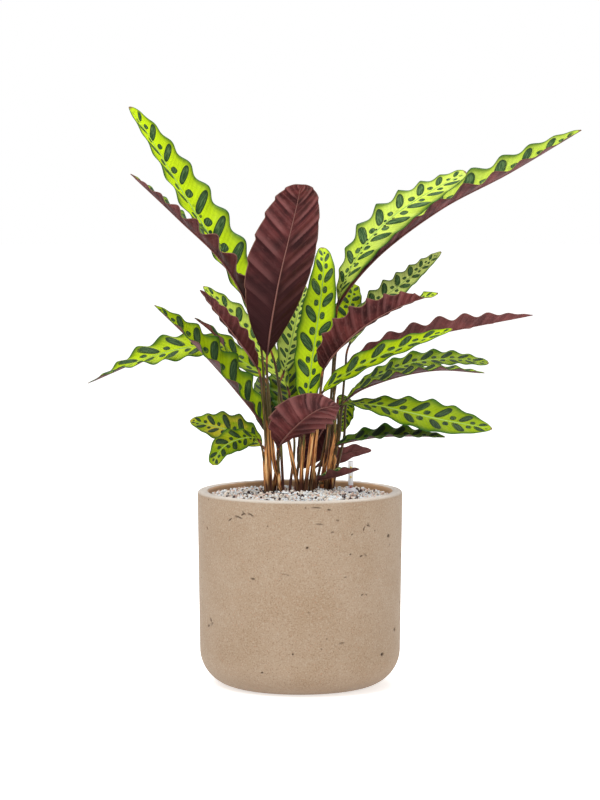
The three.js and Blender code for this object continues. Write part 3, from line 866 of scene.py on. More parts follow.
LEAVES = (
    LeafShape(
        "tall_left", root=(-2.5, 20), stem=((-7, 21, 261), (-18, 24, 318), (-26, 25, 366)),
        blade=((-38, 28, 413), (-84, 58, 503), (-136, 78, 585), (-183, 92, 663), (-212, 102, 706)),
        half_width=35, turn=(58, 50), fold=25, widest=0.45, pitch=0.118, feet=(0.36, 0.32),
        vein=(56, 56), frill=0.11, sharp=0.0, blunt=0.35, oval=(0.165, 0.4), dots=1.0, tone=0.97,
        sheath=70,
    ),
    LeafShape(
        "edge_left", root=(-36.5, 7.5), stem=((-40, 8, 300), (-43, 4, 354)),
        blade=((-52, 4, 435), (-90, -8, 513), (-147, -18, 571), (-204, -28, 625)),
        half_width=28, turn=(105, 91), fold=20, widest=0.45, pitch=0.125, frill=0.2, sharp=0.0,
        sheath=108,
    ),
    LeafShape(
        "front_purple", root=(-24, 18.5), stem=((-32, 14, 274), (-37, 2, 343)),
        blade=((-40, -8, 406), (-28, -27, 485), (-14, -50, 546), (-4, -74, 588), (1, -110, 614)),
        half_width=42, turn=(205, 190), fold=14, widest=0.46, pitch=0.135, vein=(42, 56), frill=0.09,
        scallop=0.035, sharp=0.2, saw=1.0, inward=0.5, blunt=0.42, shoulder=0.5, calm=0.9, tone=0.0,
        sheath=88,
    ),
    LeafShape(
        "behind_left", root=(-31.3, 22.5), stem=((-23, 40, 296), (-17, 52, 332)),
        blade=((-15, 56, 359), (-46, 78, 400), (-77, 98, 438), (-121, 118, 482)),
        half_width=23, turn=(35, 50), fold=20, widest=0.45, pitch=0.172, feet=(0.36, 0.47), tone=1.2,
        sheath=45,
    ),
    LeafShape(
        "purple_left", root=(-40, 3), stem=((-42, 2, 300), (-46, -6, 356)),
        blade=((-52, -8, 390), (-83, -26, 436), (-120, -46, 486)),
        half_width=22, turn=(116, 116), fold=18, widest=0.45, frill=0.1, scallop=0.0, sharp=0.0,
        sheath=70,
    ),
    LeafShape(
        "thin_left", root=(-35.5, 13.5), stem=((-39, 18, 299), (-40, 24, 347)),
        blade=((-44, 28, 375), (-81, 45, 401), (-108, 38, 430), (-129, 26, 448)),
        half_width=20, turn=(30, 112), fold=20, widest=0.35, pitch=0.25, feet=(0.3, 0.19), sheath=60,
    ),
    LeafShape(
        "broad_left", root=(-41, 14), stem=((-43, 14, 274),),
        blade=((-44, 14, 314), (-78, 0, 362), (-129, -6, 419), (-177, 0, 465)),
        half_width=30, turn=(70, 66), fold=32, widest=0.42, feet=(0.26, 0.2), vein=(56, 56), blunt=0.1,
        tone=0.58, sheath=40,
    ),
    LeafShape(
        "far_left", root=(-36, 24), stem=((-39, 34, 322), (-49, 50, 370)),
        blade=((-67, 64, 402), (-118, 75, 411), (-186, 66, 397), (-261, 38, 367)),
        half_width=24, turn=(34, 74), fold=12, widest=0.5, pitch=0.153, feet=(0.28, 0.38),
        vein=(46, 46), blunt=0.1, curl=(0.45, 24), tone=0.85,
    ),
    LeafShape(
        "yellow_left", root=(-38.5, 19), stem=((-42, 24, 273),),
        blade=((-47, 34, 290), (-89, 46, 308), (-136, 54, 319)),
        half_width=24, turn=(40, 45), fold=12, widest=0.45, pitch=0.209, feet=(0.41, 0.5),
        vein=(58, 58), frill=0.12, ageing=0.6, tone=0.45,
    ),
    LeafShape(
        "drooping_left", root=(-42, 8.5), stem=((-44, 6, 275),),
        blade=((-51, -2, 301), (-73, -24, 304), (-94, -46, 295), (-105, -60, 276)),
        half_width=16, turn=(40, 15), fold=8, widest=0.5, pitch=0.246, feet=(0.25, 0.14), blunt=0.6,
        ageing=0.2, tone=0.35, sheath=45,
    ),
    LeafShape(
        "centre", root=(2, 13), stem=((2, 12, 262), (4, 12, 288)),
        blade=((6, 14, 316), (14, 20, 390), (24, 24, 460), (29, 34, 508), (28, 62, 533)),
        half_width=23, turn=(-36, 10), fold=16, widest=0.48, pitch=0.15, feet=(0.27, 0.35),
        vein=(50, 50), frill=0.08, scallop=0.02, blunt=0.45, green=0.6, tone=0.95, sheath=84,
    ),
    LeafShape(
        "centre_back", root=(-21, 21.5), stem=((-23, 26, 285), (-26, 36, 359)),
        blade=((-20, 42, 380), (-9, 56, 425), (6, 84, 485)),
        half_width=19, turn=(0, 0), fold=16, widest=0.45, green=1.0, tone=1.35,
    ),
    LeafShape(
        "tall_right", root=(27.5, 56.5), stem=((35, 56, 295), (42, 56, 406)),
        blade=((47, 54, 466), (60, 50, 503), (91, 50, 550), (136, 56, 587), (205, 74, 626)),
        half_width=24, turn=(-30, -40), fold=5, widest=0.5, pitch=0.133, feet=(0.12, 0.06),
        vein=(62, 38), frill=0.2, scallop=0.08, sharp=0.6, blunt=0.5, dots=1.0, tone=1.25, sheath=90,
    ),
    LeafShape(
        "longest_right", root=(17, 34), stem=((17, 40, 272), (27, 56, 369)),
        blade=((40, 66, 448), (91, 86, 516), (174, 112, 578), (261, 114, 624), (349, 96, 677)),
        half_width=27, turn=(-98, -58), fold=38, widest=0.56, pitch=0.11, feet=(0.59, 0.54), frill=0.18,
        blunt=0.2, tone=1.2, sheath=60,
    ),
    LeafShape(
        "back_striped", root=(33, 58), stem=((41, 68, 319), (43, 76, 383)),
        blade=((47, 84, 411), (59, 100, 447), (68, 118, 485)),
        half_width=18, turn=(0, 0), fold=8, widest=0.5, pitch=0.2, vein=(66, 66), blunt=0.6,
    ),
    LeafShape(
        "wavy_right_back", root=(38.5, 58), stem=((50, 62, 319), (56, 64, 381)),
        blade=((61, 66, 412), (89, 78, 457), (127, 90, 487), (158, 98, 512), (176, 104, 526)),
        half_width=17, turn=(-38, -36), fold=12, widest=0.45, pitch=0.124, feet=(0.47, 0.48),
        vein=(60, 60), frill=0.2, scallop=0.08, sharp=0.6, tone=1.5,
    ),
    LeafShape(
        "broad_purple_right", root=(13, 18.5), stem=((17, 14, 274), (24, 4, 349)),
        blade=((29, -4, 388), (50, -18, 417), (80, -34, 444), (120, -50, 467), (165, -64, 483)),
        half_width=29, turn=(232, 232), fold=32, widest=0.35, pitch=0.125, vein=(60, 60), scallop=0.06,
        sharp=0.4, saw=0.5, inward=0.7, blunt=0.1, curl=(0.8, 105), tone=1.1, sheath=100,
    ),
    LeafShape(
        "long_purple_right", root=(27, 50.5), stem=((35, 40, 296), (42, 30, 353)),
        blade=((51, 22, 383), (88, 12, 408), (146, 2, 426), (206, -6, 439), (282, -16, 454)),
        half_width=22, turn=(246, 242), fold=26, widest=0.5, pitch=0.13, frill=0.17, sharp=0.0,
        blunt=0.1, tone=1.45, sheath=50,
    ),
    LeafShape(
        "front_right", root=(7.5, 13), stem=((11, 8, 275), (17, 2, 319)),
        blade=((28, -6, 360), (82, -28, 398), (135, -46, 422), (183, -62, 440)),
        half_width=18, turn=(-56, -56), fold=15, widest=0.4, pitch=0.205, feet=(0.24, 0.3),
        vein=(48, 48), frill=0.12, green=0.6, tone=0.78, sheath=92,
    ),
    LeafShape(
        "mid_right_back", root=(41.5, 52), stem=((54, 56, 295),),
        blade=((64, 64, 353), (129, 78, 386), (186, 78, 394), (234, 70, 389)),
        half_width=17, turn=(-55, -58), fold=8, widest=0.5, pitch=0.133, feet=(0.55, 0.61),
        vein=(48, 48), blunt=0.55, tone=0.35,
    ),
    LeafShape(
        "mid_right", root=(36, 52), stem=((48, 50, 295),),
        blade=((57, 42, 346), (104, 34, 371), (166, 26, 384), (226, 18, 381)),
        half_width=19, turn=(-82, -88), fold=20, widest=0.4, feet=(0.28, 0.33), frill=0.18,
        scallop=0.06, sharp=0.5, tone=0.6, sheath=40,
    ),
    LeafShape(
        "drooping_right", root=(33, 44.5), stem=((42, 34, 297),),
        blade=((49, 20, 340), (88, -6, 344), (130, -28, 337), (175, -50, 329), (230, -74, 321)),
        half_width=24, turn=(-68, -28), fold=8, widest=0.55, pitch=0.163, feet=(0.2, 0.31),
        vein=(48, 48), frill=0.12, blunt=0.2, green=0.8, tone=0.45, sheath=86,
    ),
    LeafShape(
        "dark_right", root=(38.5, 46.5), stem=((43, 44, 269),),
        blade=((44, 38, 290), (92, 34, 301), (138, 26, 303), (178, 18, 302)),
        half_width=17, turn=(-72, -70), fold=25, widest=0.45, pitch=0.185, feet=(0.19, 0.25), frill=0.2,
        tone=0.0, sheath=50,
    ),
    LeafShape(
        "purple_low_right", root=(20, 66), stem=((19, 70, 251),),
        blade=((19, 74, 259), (42, 80, 269), (65, 82, 278), (89, 84, 279)),
        half_width=10, turn=(195, 195), fold=8, widest=0.5, pitch=0.3, frill=0.34, scallop=0.06,
        tone=1.7,
    ),
    LeafShape(
        "small_low", root=(27.5, 45), stem=((24, 34, 243),),
        blade=((22, 26, 249), (34, 10, 253), (52, -10, 259), (72, -32, 268)),
        half_width=13, turn=(-82, -104), fold=36, widest=0.42, pitch=0.3, frill=0.14, scallop=0.08,
        sharp=0.0, curl=(0.15, -26), tone=1.65, sheath=12,
    ),
    LeafShape(
        "front_low", root=(-25.5, 13), stem=((-26, 12, 262),),
        blade=((-26, 0, 292), (-5, -44, 322), (21, -84, 345), (46, -114, 353)),
        half_width=34, turn=(213, 207), fold=16, widest=0.48, pitch=0.15, vein=(58, 58), frill=-0.2,
        scallop=0.16, sharp=0.6, saw=1.0, inward=0.5, blunt=0.1, tone=1.35, sheath=28,
    ),
    LeafShape(
        "hanging_back", root=(21, 59), stem=((32, 62, 294),),
        blade=((37, 68, 321), (24, 94, 295), (0, 119, 253)),
        half_width=24, turn=(180, 180), fold=10, widest=0.45, tone=0.1,
    ),
    LeafShape(
        "back_low", root=(-5, 27), stem=((0, 44, 284),),
        blade=((0, 62, 309), (-1, 124, 342), (-5, 196, 368)),
        half_width=24, turn=(0, 0), fold=12, widest=0.45, tone=0.15,
    ),
    LeafShape(
        "back_centre", root=(-12, 28), stem=((-7, 44, 284),),
        blade=((-9, 64, 313), (-16, 96, 360), (-24, 134, 402)),
        half_width=23, turn=(0, 0), fold=12, widest=0.45, tone=0.2,
    ),
    LeafShape(
        "back_left", root=(-26.5, 26), stem=((-27, 42, 278),),
        blade=((-30, 56, 295), (-42, 92, 335), (-50, 134, 368)),
        half_width=19, turn=(10, 10), fold=12, widest=0.45, tone=0.15,
    ),
    LeafShape(
        "back_right", root=(36, 63.5), stem=((47, 72, 306),),
        blade=((47, 78, 345), (57, 92, 334), (53, 106, 300)),
        half_width=11, turn=(0, 0), fold=6, widest=0.5, pitch=0.2, tone=0.5,
    ),
)


@dataclass(frozen=True)
class Granulate:
    """The bed of grains, in millimetres: its level, its crown and its reach."""

    level: float = 231.0
    crown: float = 3.0
    reach: float = 111.2

    def height(self, x: float, y: float) -> float:
        """The bed's height at a place, x to the right and y away from the front."""
        share = min(1.0, math.hypot(x, y) / self.reach)
        return self.level + self.crown * (1 - share * share)


class Midrib:
    """The smooth line of a leaf from its foot in the granulate to its tip."""

    FOOT_DEPTH = 14.0
    UPRIGHT = 8.0
    FINENESS = 80
    DIRECTION_STEPS = 400

    def __init__(self, shape: LeafShape, bed: Granulate) -> None:
        """Draws the line.

        Args:
            shape: The leaf.
            bed: The granulate it stands in.
        """
        x, y = shape.root
        surface = bed.height(x, y)
        foot = ((x, y, surface - self.FOOT_DEPTH), (x, y, surface + self.UPRIGHT))
        knots = np.array([*foot, *shape.stem, *shape.blade], dtype=float) * MM
        ends = np.vstack([2 * knots[0] - knots[1], knots, 2 * knots[-1] - knots[-2]])
        steps = np.linspace(0, 1, self.FINENESS, endpoint=False)[:, None]
        spans = [self.span(*ends[i : i + 4], steps) for i in range(len(knots) - 1)]
        self.line = np.vstack([*spans, knots[-1:]])
        lengths = np.linalg.norm(np.diff(self.line, axis=0), axis=1)
        self.run = np.concatenate([[0.0], np.cumsum(lengths)])
        self.collar = self.run[(len(knots) - len(shape.blade)) * self.FINENESS]
        self.surface = self.FOOT_DEPTH * MM

    @staticmethod
    def span(
        before: np.ndarray, start: np.ndarray, end: np.ndarray, after: np.ndarray, t: np.ndarray
    ) -> np.ndarray:
        """One span of the line between two of its points.

        Args:
            before: The point before the span.
            start: Its first point.
            end: Its last point.
            after: The point after it.
            t: Steps from 0 to 1.

        Returns:
            A point for each step.
        """
        leaving = (end - before) / 2
        arriving = (after - start) / 2
        cubic = 2 * start - 2 * end + leaving + arriving
        square = -3 * start + 3 * end - 2 * leaving - arriving
        return ((cubic * t + square) * t + leaving) * t + start

    def points(self, run: np.ndarray) -> np.ndarray:
        """The places at these lengths along the line, in metres."""
        return np.stack([np.interp(run, self.run, self.line[:, axis]) for axis in range(3)], axis=1)

    def frames(self, run: np.ndarray, turn: np.ndarray) -> tuple[np.ndarray, np.ndarray, np.ndarray]:
        """Places on the line with the directions across the leaf and out of its upper side.

        Args:
            run: Lengths along it, in metres.
            turn: How far the upper side is turned from the front, in degrees.

        Returns:
            The points, the directions across and the upper side's directions.
        """
        small = self.run[-1] / self.DIRECTION_STEPS
        centre = self.points(run)
        low = self.points(np.clip(run - small, 0, self.run[-1]))
        along = self.points(np.clip(run + small, 0, self.run[-1])) - low
        along /= np.linalg.norm(along, axis=1)[:, None]
        front = np.array([[0.0, -1.0, 0.0]])
        facing = front - along * (along @ front.T)
        facing /= np.linalg.norm(facing, axis=1)[:, None]
        angle = np.radians(turn)[:, None]
        upper = facing * np.cos(angle) + np.cross(along, facing) * np.sin(angle)
        return centre, np.cross(along, upper), upper


class Leaf:
    """One leaf: a waved blade and the stalk that runs on under it as its midrib.

    THICKNESS and STEP, the size of the blade's faces, are in metres.
    """

    THICKNESS = 0.0006
    TIP_HALF_WIDTH = 0.9
    FULLNESS = 0.85
    NARROW_SHARE = 0.45
    STEP = 0.0018
    STEEP = 0.15
    POINTEDNESS = 0.9
    SAMPLES = 801
    SEED_STEP = 0.137
    FIRST_OVAL = 20.5
    OVAL_FOOT = 0.08
    ACROSS = 24
    LEAST_ALONG = 40
    LEAST_RINGS = 30
    STALK_SIDES = 10
    ROOT_RADIUS = 2.0
    COLLAR_RADIUS = 1.4
    RIB_END_RADIUS = 0.3
    RIB_END = 0.97
    RIB_TAPER = 0.7
    RIB_SINKS_OVER = 0.04

    def __init__(self, shape: LeafShape, bed: Granulate, number: int) -> None:
        """Sets up the leaf.

        Args:
            shape: Its sizes.
            bed: The granulate it stands in.
            number: Its own number, for its random pattern.
        """
        self.shape = shape
        self.midrib = Midrib(shape, bed)
        self.seed = (number * self.SEED_STEP) % 1.0
        self.length = self.midrib.run[-1] - self.midrib.collar
        grid = np.linspace(0, 1, self.SAMPLES)
        crowding = self.NARROW_SHARE + (1 - self.NARROW_SHARE) * self.outline(grid)
        pace = 1 / (shape.pitch * crowding)
        self.grid = grid
        self.count = np.concatenate([[0.0], np.cumsum((pace[1:] + pace[:-1]) / 2 * np.diff(grid))])
        reach = shape.half_width * MM / (shape.pitch * self.length)
        self.slant = [reach / math.tan(math.radians(angle)) for angle in shape.vein]

    def outline(self, s: np.ndarray) -> np.ndarray:
        """The blade's half width along its length, as a share of its widest.

        Args:
            s: Shares of the blade's length.

        Returns:
            A share for each.
        """
        power = math.log(0.5) / math.log(self.shape.widest)
        towards_tip = np.clip((s - self.shape.widest) / (1 - self.shape.widest), 0, 1)
        full = self.FULLNESS * (1 - self.shape.blunt * towards_tip**self.shape.shoulder)
        return np.sin(np.pi * np.clip(s, 0, 1) ** power) ** full

    def ovals(self, s: np.ndarray, right: np.ndarray, out: np.ndarray) -> np.ndarray:
        """The count of big ovals passed on the way from the base, along the veins' rows.

        Args:
            s: Shares of the blade's length.
            right: Whether each place is on the right half.
            out: Shares of the way from the midrib to the margin.

        Returns:
            The count, a half number in the middle of an oval.
        """
        left_foot, right_foot = np.interp(self.shape.feet, self.grid, self.count)
        passed = np.interp(s, self.grid, self.count) - np.where(right, right_foot, left_foot)
        slant = np.where(right, self.slant[1], self.slant[0])
        return passed + self.FIRST_OVAL - slant * (out - self.OVAL_FOOT)

    def wave(self, count: np.ndarray) -> np.ndarray:
        """The margin's wave, 1 at a big oval and -1 between two, or before each where it is a saw.

        Args:
            count: The count of ovals.

        Returns:
            The wave's height.
        """
        phase = count - np.floor(count) - 0.5
        round_wave = np.cos(2 * np.pi * phase)
        pointed = 1 - 2 * np.abs(np.sin(np.pi * phase)) ** self.POINTEDNESS
        wave = round_wave + (pointed - round_wave) * self.shape.sharp
        climb = np.clip(1 + phase / self.STEEP, 0, 1)
        sink = np.where(phase < 0, phase + 1, phase) / (1 - self.STEEP)
        climbing = (phase < 0) & (phase > -self.STEEP)
        steep = np.where(climbing, 2 * climb * climb * (3 - 2 * climb) - 1, 1 - 2 * sink)
        return wave + (steep - wave) * self.shape.saw

    def turn(self, s: np.ndarray) -> np.ndarray:
        """How far the upper side is turned from the front.

        Args:
            s: Shares of the blade's length.

        Returns:
            Degrees for each.
        """
        base, tip = self.shape.turn
        start, degrees = self.shape.curl
        over = np.clip((s - start) / max(1 - start, 1e-6), 0, 1)
        return base + (tip - base) * s + degrees * over * over * (3 - 2 * over)

    def blade_places(self, s: np.ndarray, t: np.ndarray) -> np.ndarray:
        """Bends the flat blade to its shape.

        Args:
            s: Shares of the blade's length.
            t: Shares of the half width, negative on the left half.

        Returns:
            A point for each, in metres.
        """
        shape = self.shape
        out = np.abs(t)
        centre, across, upper = self.midrib.frames(self.midrib.collar + self.length * s, self.turn(s))
        grown = np.sin(np.pi * np.clip(s, 0, 1)) ** 0.5
        wave = self.wave(self.ovals(s, t > 0, out)) * grown * s**shape.calm
        half = np.maximum(self.TIP_HALF_WIDTH, shape.half_width * self.outline(s)) * MM
        reach = half * out * (1 + shape.scallop * wave * out)
        fold = math.radians(shape.fold)
        lift = reach * math.sin(fold) + shape.frill * half * wave * out**shape.inward
        sideways = np.sign(t) * reach * math.cos(fold)
        return centre + across * sideways[:, None] + upper * lift[:, None]

    def trait(self, bm: bmesh.types.BMesh, values: Point, name: str = "trait") -> None:
        """Stores three of the leaf's own numbers on every vertex.

        Args:
            bm: The shape.
            values: The numbers.
            name: What they are kept as.
        """
        layer = bm.verts.layers.float_color.new(name)
        for vert in bm.verts:
            vert[layer] = (*values, 1.0)

    def blade(self, upper: bpy.types.Material, under: bpy.types.Material) -> bpy.types.Object:
        """Builds the blade.

        Args:
            upper: The upper side's material.
            under: The underside's material.

        Returns:
            The blade.
        """
        along = max(self.LEAST_ALONG, round(self.length / self.STEP))
        bm = bmesh.new()
        bmesh.ops.create_grid(bm, x_segments=along, y_segments=self.ACROSS, size=1)
        flat = np.array([vert.co[:2] for vert in bm.verts])
        s, t = (flat[:, 0] + 1) / 2, flat[:, 1]
        places = self.blade_places(s, t)
        left = self.ovals(s, np.zeros(len(s), bool), np.abs(t))
        right = self.ovals(s, np.ones(len(s), bool), np.abs(t))
        pattern = bm.loops.layers.uv.new("pattern")
        place = bm.loops.layers.uv.new("place")
        for face in bm.faces:
            count = right if face.calc_center_median().y > 0 else left
            for loop in face.loops:
                i = loop.vert.index
                loop[pattern].uv = (count[i], t[i])
                # The place map also carries the leaf's painted light and shade.
                loop[place].uv = (s[i], self.shape.tone)
        for vert, spot in zip(bm.verts, places):
            vert.co = spot
        bmesh.ops.reverse_faces(bm, faces=bm.faces)
        self.trait(bm, (self.shape.dots, self.shape.ageing, self.seed))
        self.trait(bm, (*self.shape.oval, self.shape.saw), "figure")
        name = self.shape.name
        made = Piece("blade_" + name).finish(bm, [upper, under], Slot.LEAF, "leaf_" + name)
        shell = thicken(made, self.THICKNESS, -1)
        shell.material_offset = 1
        shell.material_offset_rim = 1 if abs(self.shape.turn[0]) > 90 else 0
        return made

    def stalk(self, material: bpy.types.Material) -> bpy.types.Object:
        """Builds the stalk and, under the blade, the midrib that it runs into.

        Args:
            material: The stalk's material.

        Returns:
            The stalk.
        """
        rings = max(self.LEAST_RINGS, round(self.midrib.run[-1] / (2 * self.STEP)))
        bm = bmesh.new()
        bmesh.ops.create_cone(
            bm, cap_ends=True, segments=self.STALK_SIDES, radius1=1, radius2=1, depth=1
        )
        upright = [edge for edge in bm.edges if abs(edge.verts[0].co.z - edge.verts[1].co.z) > 0.5]
        bmesh.ops.subdivide_edges(bm, edges=upright, cuts=rings)
        local = np.array([vert.co for vert in bm.verts])
        share = local[:, 2] + 0.5
        rib_end = self.midrib.collar + self.RIB_END * self.length
        run = share * rib_end
        on_stalk = np.clip(run / self.midrib.collar, 0, 1)
        on_blade = np.clip((run - self.midrib.collar) / self.length, 0, 1)
        radius = np.where(
            on_blade > 0,
            self.COLLAR_RADIUS + (self.RIB_END_RADIUS - self.COLLAR_RADIUS) * on_blade**self.RIB_TAPER,
            self.ROOT_RADIUS + (self.COLLAR_RADIUS - self.ROOT_RADIUS) * on_stalk,
        ) * MM
        centre, across, upper = self.midrib.frames(run, self.turn(on_blade))
        sunk = -(radius + self.THICKNESS / 3) * np.clip(on_blade / self.RIB_SINKS_OVER, 0, 1)
        rise = local[:, 1] * radius + sunk
        places = centre + across * (local[:, 0] * radius)[:, None] + upper * rise[:, None]
        pattern = bm.loops.layers.uv.new("pattern")
        around = np.arctan2(local[:, 1], local[:, 0]) / (2 * np.pi) + 0.5
        for face in bm.faces:
            turns = [around[loop.vert.index] for loop in face.loops]
            wraps = max(turns) - min(turns) > 0.5
            for loop, part in zip(face.loops, turns):
                i = loop.vert.index
                turned = part + 1.0 if wraps and part < 0.5 else part
                loop[pattern].uv = (on_stalk[i] + on_blade[i], turned)
        for vert, spot in zip(bm.verts, places):
            vert.co = spot
        self.trait(bm, (self.shape.green, 0.0, self.seed))
        name = self.shape.name
        return Piece("stalk_" + name).finish(bm, [material], Slot.LEAF, "leaf_" + name)


@dataclass(frozen=True)
class Sheath:
    """The dry sheath with a ragged, split top that wraps the foot of a stalk.

    thickness, foot_depth and below_collar are in millimetres, as are girth, its radius at the foot,
    and taper, bulge, ridge and flare, which change it on the way up. shortest and flare_start are
    shares of the height, closed is a share of the way round, and golden_height is the height from
    which a sheath is golden all over.
    """

    sides: int = 14
    rows: int = 30
    thickness: float = 0.3
    foot_depth: float = 6.0
    below_collar: float = 10.0
    girth: float = 2.45
    taper: float = 0.55
    bulge: float = 0.35
    ridge: float = 0.16
    flare: float = 0.8
    flare_start: float = 0.85
    shortest: float = 0.72
    closed: float = 0.93
    golden_height: float = 90.0

    def wrap(self, bm: bmesh.types.BMesh, leaf: Leaf, rng: random.Random) -> None:
        """Wraps one stalk's foot.

        Args:
            bm: The shape of all sheaths.
            leaf: The leaf whose stalk is wrapped.
            rng: The source of chance.
        """
        pattern = bm.loops.layers.uv["pattern"]
        trait = bm.verts.layers.float_color["trait"]
        midrib, reach = leaf.midrib, leaf.shape.sheath
        top = min(midrib.collar - self.below_collar * MM, midrib.surface + reach * MM)
        low = midrib.surface - self.foot_depth * MM
        seed = rng.random()
        golden = min(1.0, reach / self.golden_height)
        opening = rng.uniform(0, 2 * math.pi)
        ragged = np.array([rng.uniform(self.shortest, 1.0) for _ in range(self.sides + 1)])
        before = set(bm.verts)
        bmesh.ops.create_grid(bm, x_segments=self.rows, y_segments=self.sides, size=1)
        fresh = [vert for vert in bm.verts if vert not in before]
        flat = np.array([vert.co[:2] for vert in fresh])
        share, turn = (flat[:, 0] + 1) / 2, (flat[:, 1] + 1) / 2
        height = share * ragged[np.rint(turn * self.sides).astype(int)]
        centre, across, upper = midrib.frames(low + (top - low) * height, np.zeros(len(height)))
        around = opening + turn * 2 * math.pi * self.closed
        ridges = self.ridge * np.sin(around * 5 + seed * 9 + height * 4)
        bulge = self.bulge * np.sin(height * 9 + seed * 20) * (1 - height)
        flare = self.flare * np.maximum(0, height - self.flare_start)
        radius = (self.girth - self.taper * height + bulge + ridges + flare) * MM
        sideways = across * (np.cos(around) * radius)[:, None]
        places = centre + sideways + upper * (np.sin(around) * radius)[:, None]
        for i, vert in enumerate(fresh):
            vert[trait] = (golden, 0.0, seed, 1.0)
            for loop in vert.link_loops:
                loop[pattern].uv = (height[i], turn[i])
            vert.co = places[i]


class Foliage:
    """All leaves of the plant with the dry sheaths at their feet."""

    def __init__(self, bed: Granulate) -> None:
        """Sets up the leaves that stand in this bed of granulate."""
        self.leaves = [Leaf(shape, bed, number) for number, shape in enumerate(LEAVES)]

    def build(self) -> list[bpy.types.Object]:
        """Builds every leaf.

        Returns:
            The pieces.
        """
        upper, under, stalk = UpperSide().make(), UnderSide().make(), StalkFinish().make()
        made = []
        for leaf in self.leaves:
            made.append(leaf.blade(upper, under))
            made.append(leaf.stalk(stalk))
        made.append(self.sheaths(SheathFinish().make()))
        return made

    def sheaths(self, material: bpy.types.Material) -> bpy.types.Object:
        """Wraps the feet of the stalks that have a dry sheath.

        Args:
            material: The sheaths' material.

        Returns:
            All sheaths as one piece.
        """
        rng = random.Random(SEED)
        sheath = Sheath()
        bm = bmesh.new()
        bm.loops.layers.uv.new("pattern")
        bm.verts.layers.float_color.new("trait")
        for leaf in self.leaves:
            if leaf.shape.sheath:
                sheath.wrap(bm, leaf, rng)
        made = Piece("stalk_sheaths").finish(bm, [material], Slot.LEAF)
        thicken(made, sheath.thickness * MM, 1)
        return made


# --- Planter, granulate and gauge -------------------------------------------------------------
@dataclass(frozen=True)
class Mark:
    """A pit or crack in the bowl's wall.

    turn is how far round it lies from the front, tilt how far it leans, and depth its depth as a share
    of the deepest pit's.
    """

    turn: float
    height: float
    length: float
    width: float
    tilt: float = 0.0
    depth: float = 0.8


@dataclass(frozen=True)
class Dent:
    """A mark laid on the wall: its middle and the directions along and across it, in metres.

    ROUGHNESS lists how fine and how strong the noise is that makes the dent's edge uneven.
    """

    ROUGHNESS = ((500, 0.7), (1400, 0.4))
    WANDER = 0.7
    FULLNESS = 1.25
    UNEVENNESS = 0.4

    mark: Mark
    middle: Vector
    along: Vector
    across: Vector

    def depth_at(self, place: Vector) -> float:
        """How deep the dent is at a place, with an uneven edge.

        Args:
            place: The place in metres.

        Returns:
            The depth as a share of the deepest pit's.
        """
        away = place - self.middle
        if away.length > self.mark.length * MM * 0.8 + 0.001:
            return 0.0
        rough = sum(noise.noise(place * fine) * strong for fine, strong in self.ROUGHNESS)
        far = (away.dot(self.along) / (self.mark.length * MM / 2)) ** 2
        half_width = self.mark.width * MM * 0.68 + 0.0004
        near = ((away.dot(self.across) + rough * self.WANDER * MM) / half_width) ** 2
        depth = self.FULLNESS - far - near + rough * self.UNEVENNESS
        return self.mark.depth * min(1.0, max(0.0, depth))


FRONT_MARKS = (
    Mark(-42, 214, 7, 0.9, 32), Mark(-36, 218, 12, 0.8, -14), Mark(-33, 222, 6, 1.0, 30),
    Mark(-28, 222, 9, 0.9, -26), Mark(-70, 205, 1.6, 1.4, 0), Mark(-64, 199, 4.5, 1.3, -55, 1.0),
    Mark(-62, 234, 2.5, 0.8, -30, 0.5), Mark(-18, 209, 2.2, 1.0, 0, 0.5), Mark(3, 232, 1.6, 1.4, 0, 0.6),
    Mark(9, 232, 12, 0.7, -4, 0.7), Mark(16, 229, 4.5, 0.9, -6, 0.8), Mark(11, 212, 10, 0.7, -10, 0.6),
    Mark(21, 216, 5, 0.8, 0, 0.6), Mark(18, 202, 4.5, 0.9, 0, 0.6), Mark(38, 204, 7, 0.9, 62, 0.8),
    Mark(41, 207, 7, 0.9, -12, 0.7), Mark(46, 200, 2, 1.2, 0, 0.6), Mark(30, 198, 4, 0.9, 20, 0.7),
    Mark(59, 191, 6, 2.8, 8, 1.0), Mark(60, 180, 2, 1.2, 0, 0.7), Mark(4, 184, 3.2, 1.8, -10, 1.0),
    Mark(29, 174, 3, 1.2, -20, 0.8), Mark(36, 171, 4.5, 1.0, 24, 0.8), Mark(39, 171, 5, 1.0, -14, 0.8),
    Mark(-27, 145, 6.5, 1.2, -8, 0.8), Mark(-8, 152, 14, 0.7, -12, 0.35), Mark(26, 147, 4.5, 0.8, 4, 0.5),
    Mark(-75, 136, 3, 1.4, 0, 0.7), Mark(37, 124, 4, 1.0, 22, 0.7), Mark(40, 124, 3.5, 1.0, -20, 0.7),
    Mark(5, 106, 4, 0.7, -35, 0.4), Mark(-61, 88, 6, 1.8, -60, 1.0), Mark(-60, 83, 7, 2.2, 40, 0.7),
    Mark(-64, 80, 6, 2.0, 20, 0.8), Mark(69, 74, 7, 2.8, 0, 0.8), Mark(15, 74, 2, 1.0, 0, 0.5),
    Mark(24, 68, 9, 0.9, 4, 0.5), Mark(54, 48, 6.5, 2.2, 6, 1.0), Mark(-4, 56, 2.2, 1.4, 0, 0.9),
    Mark(12, 62, 2.2, 1.0, 0, 0.5), Mark(-22, 32, 3.6, 1.6, 0, 0.8),
)


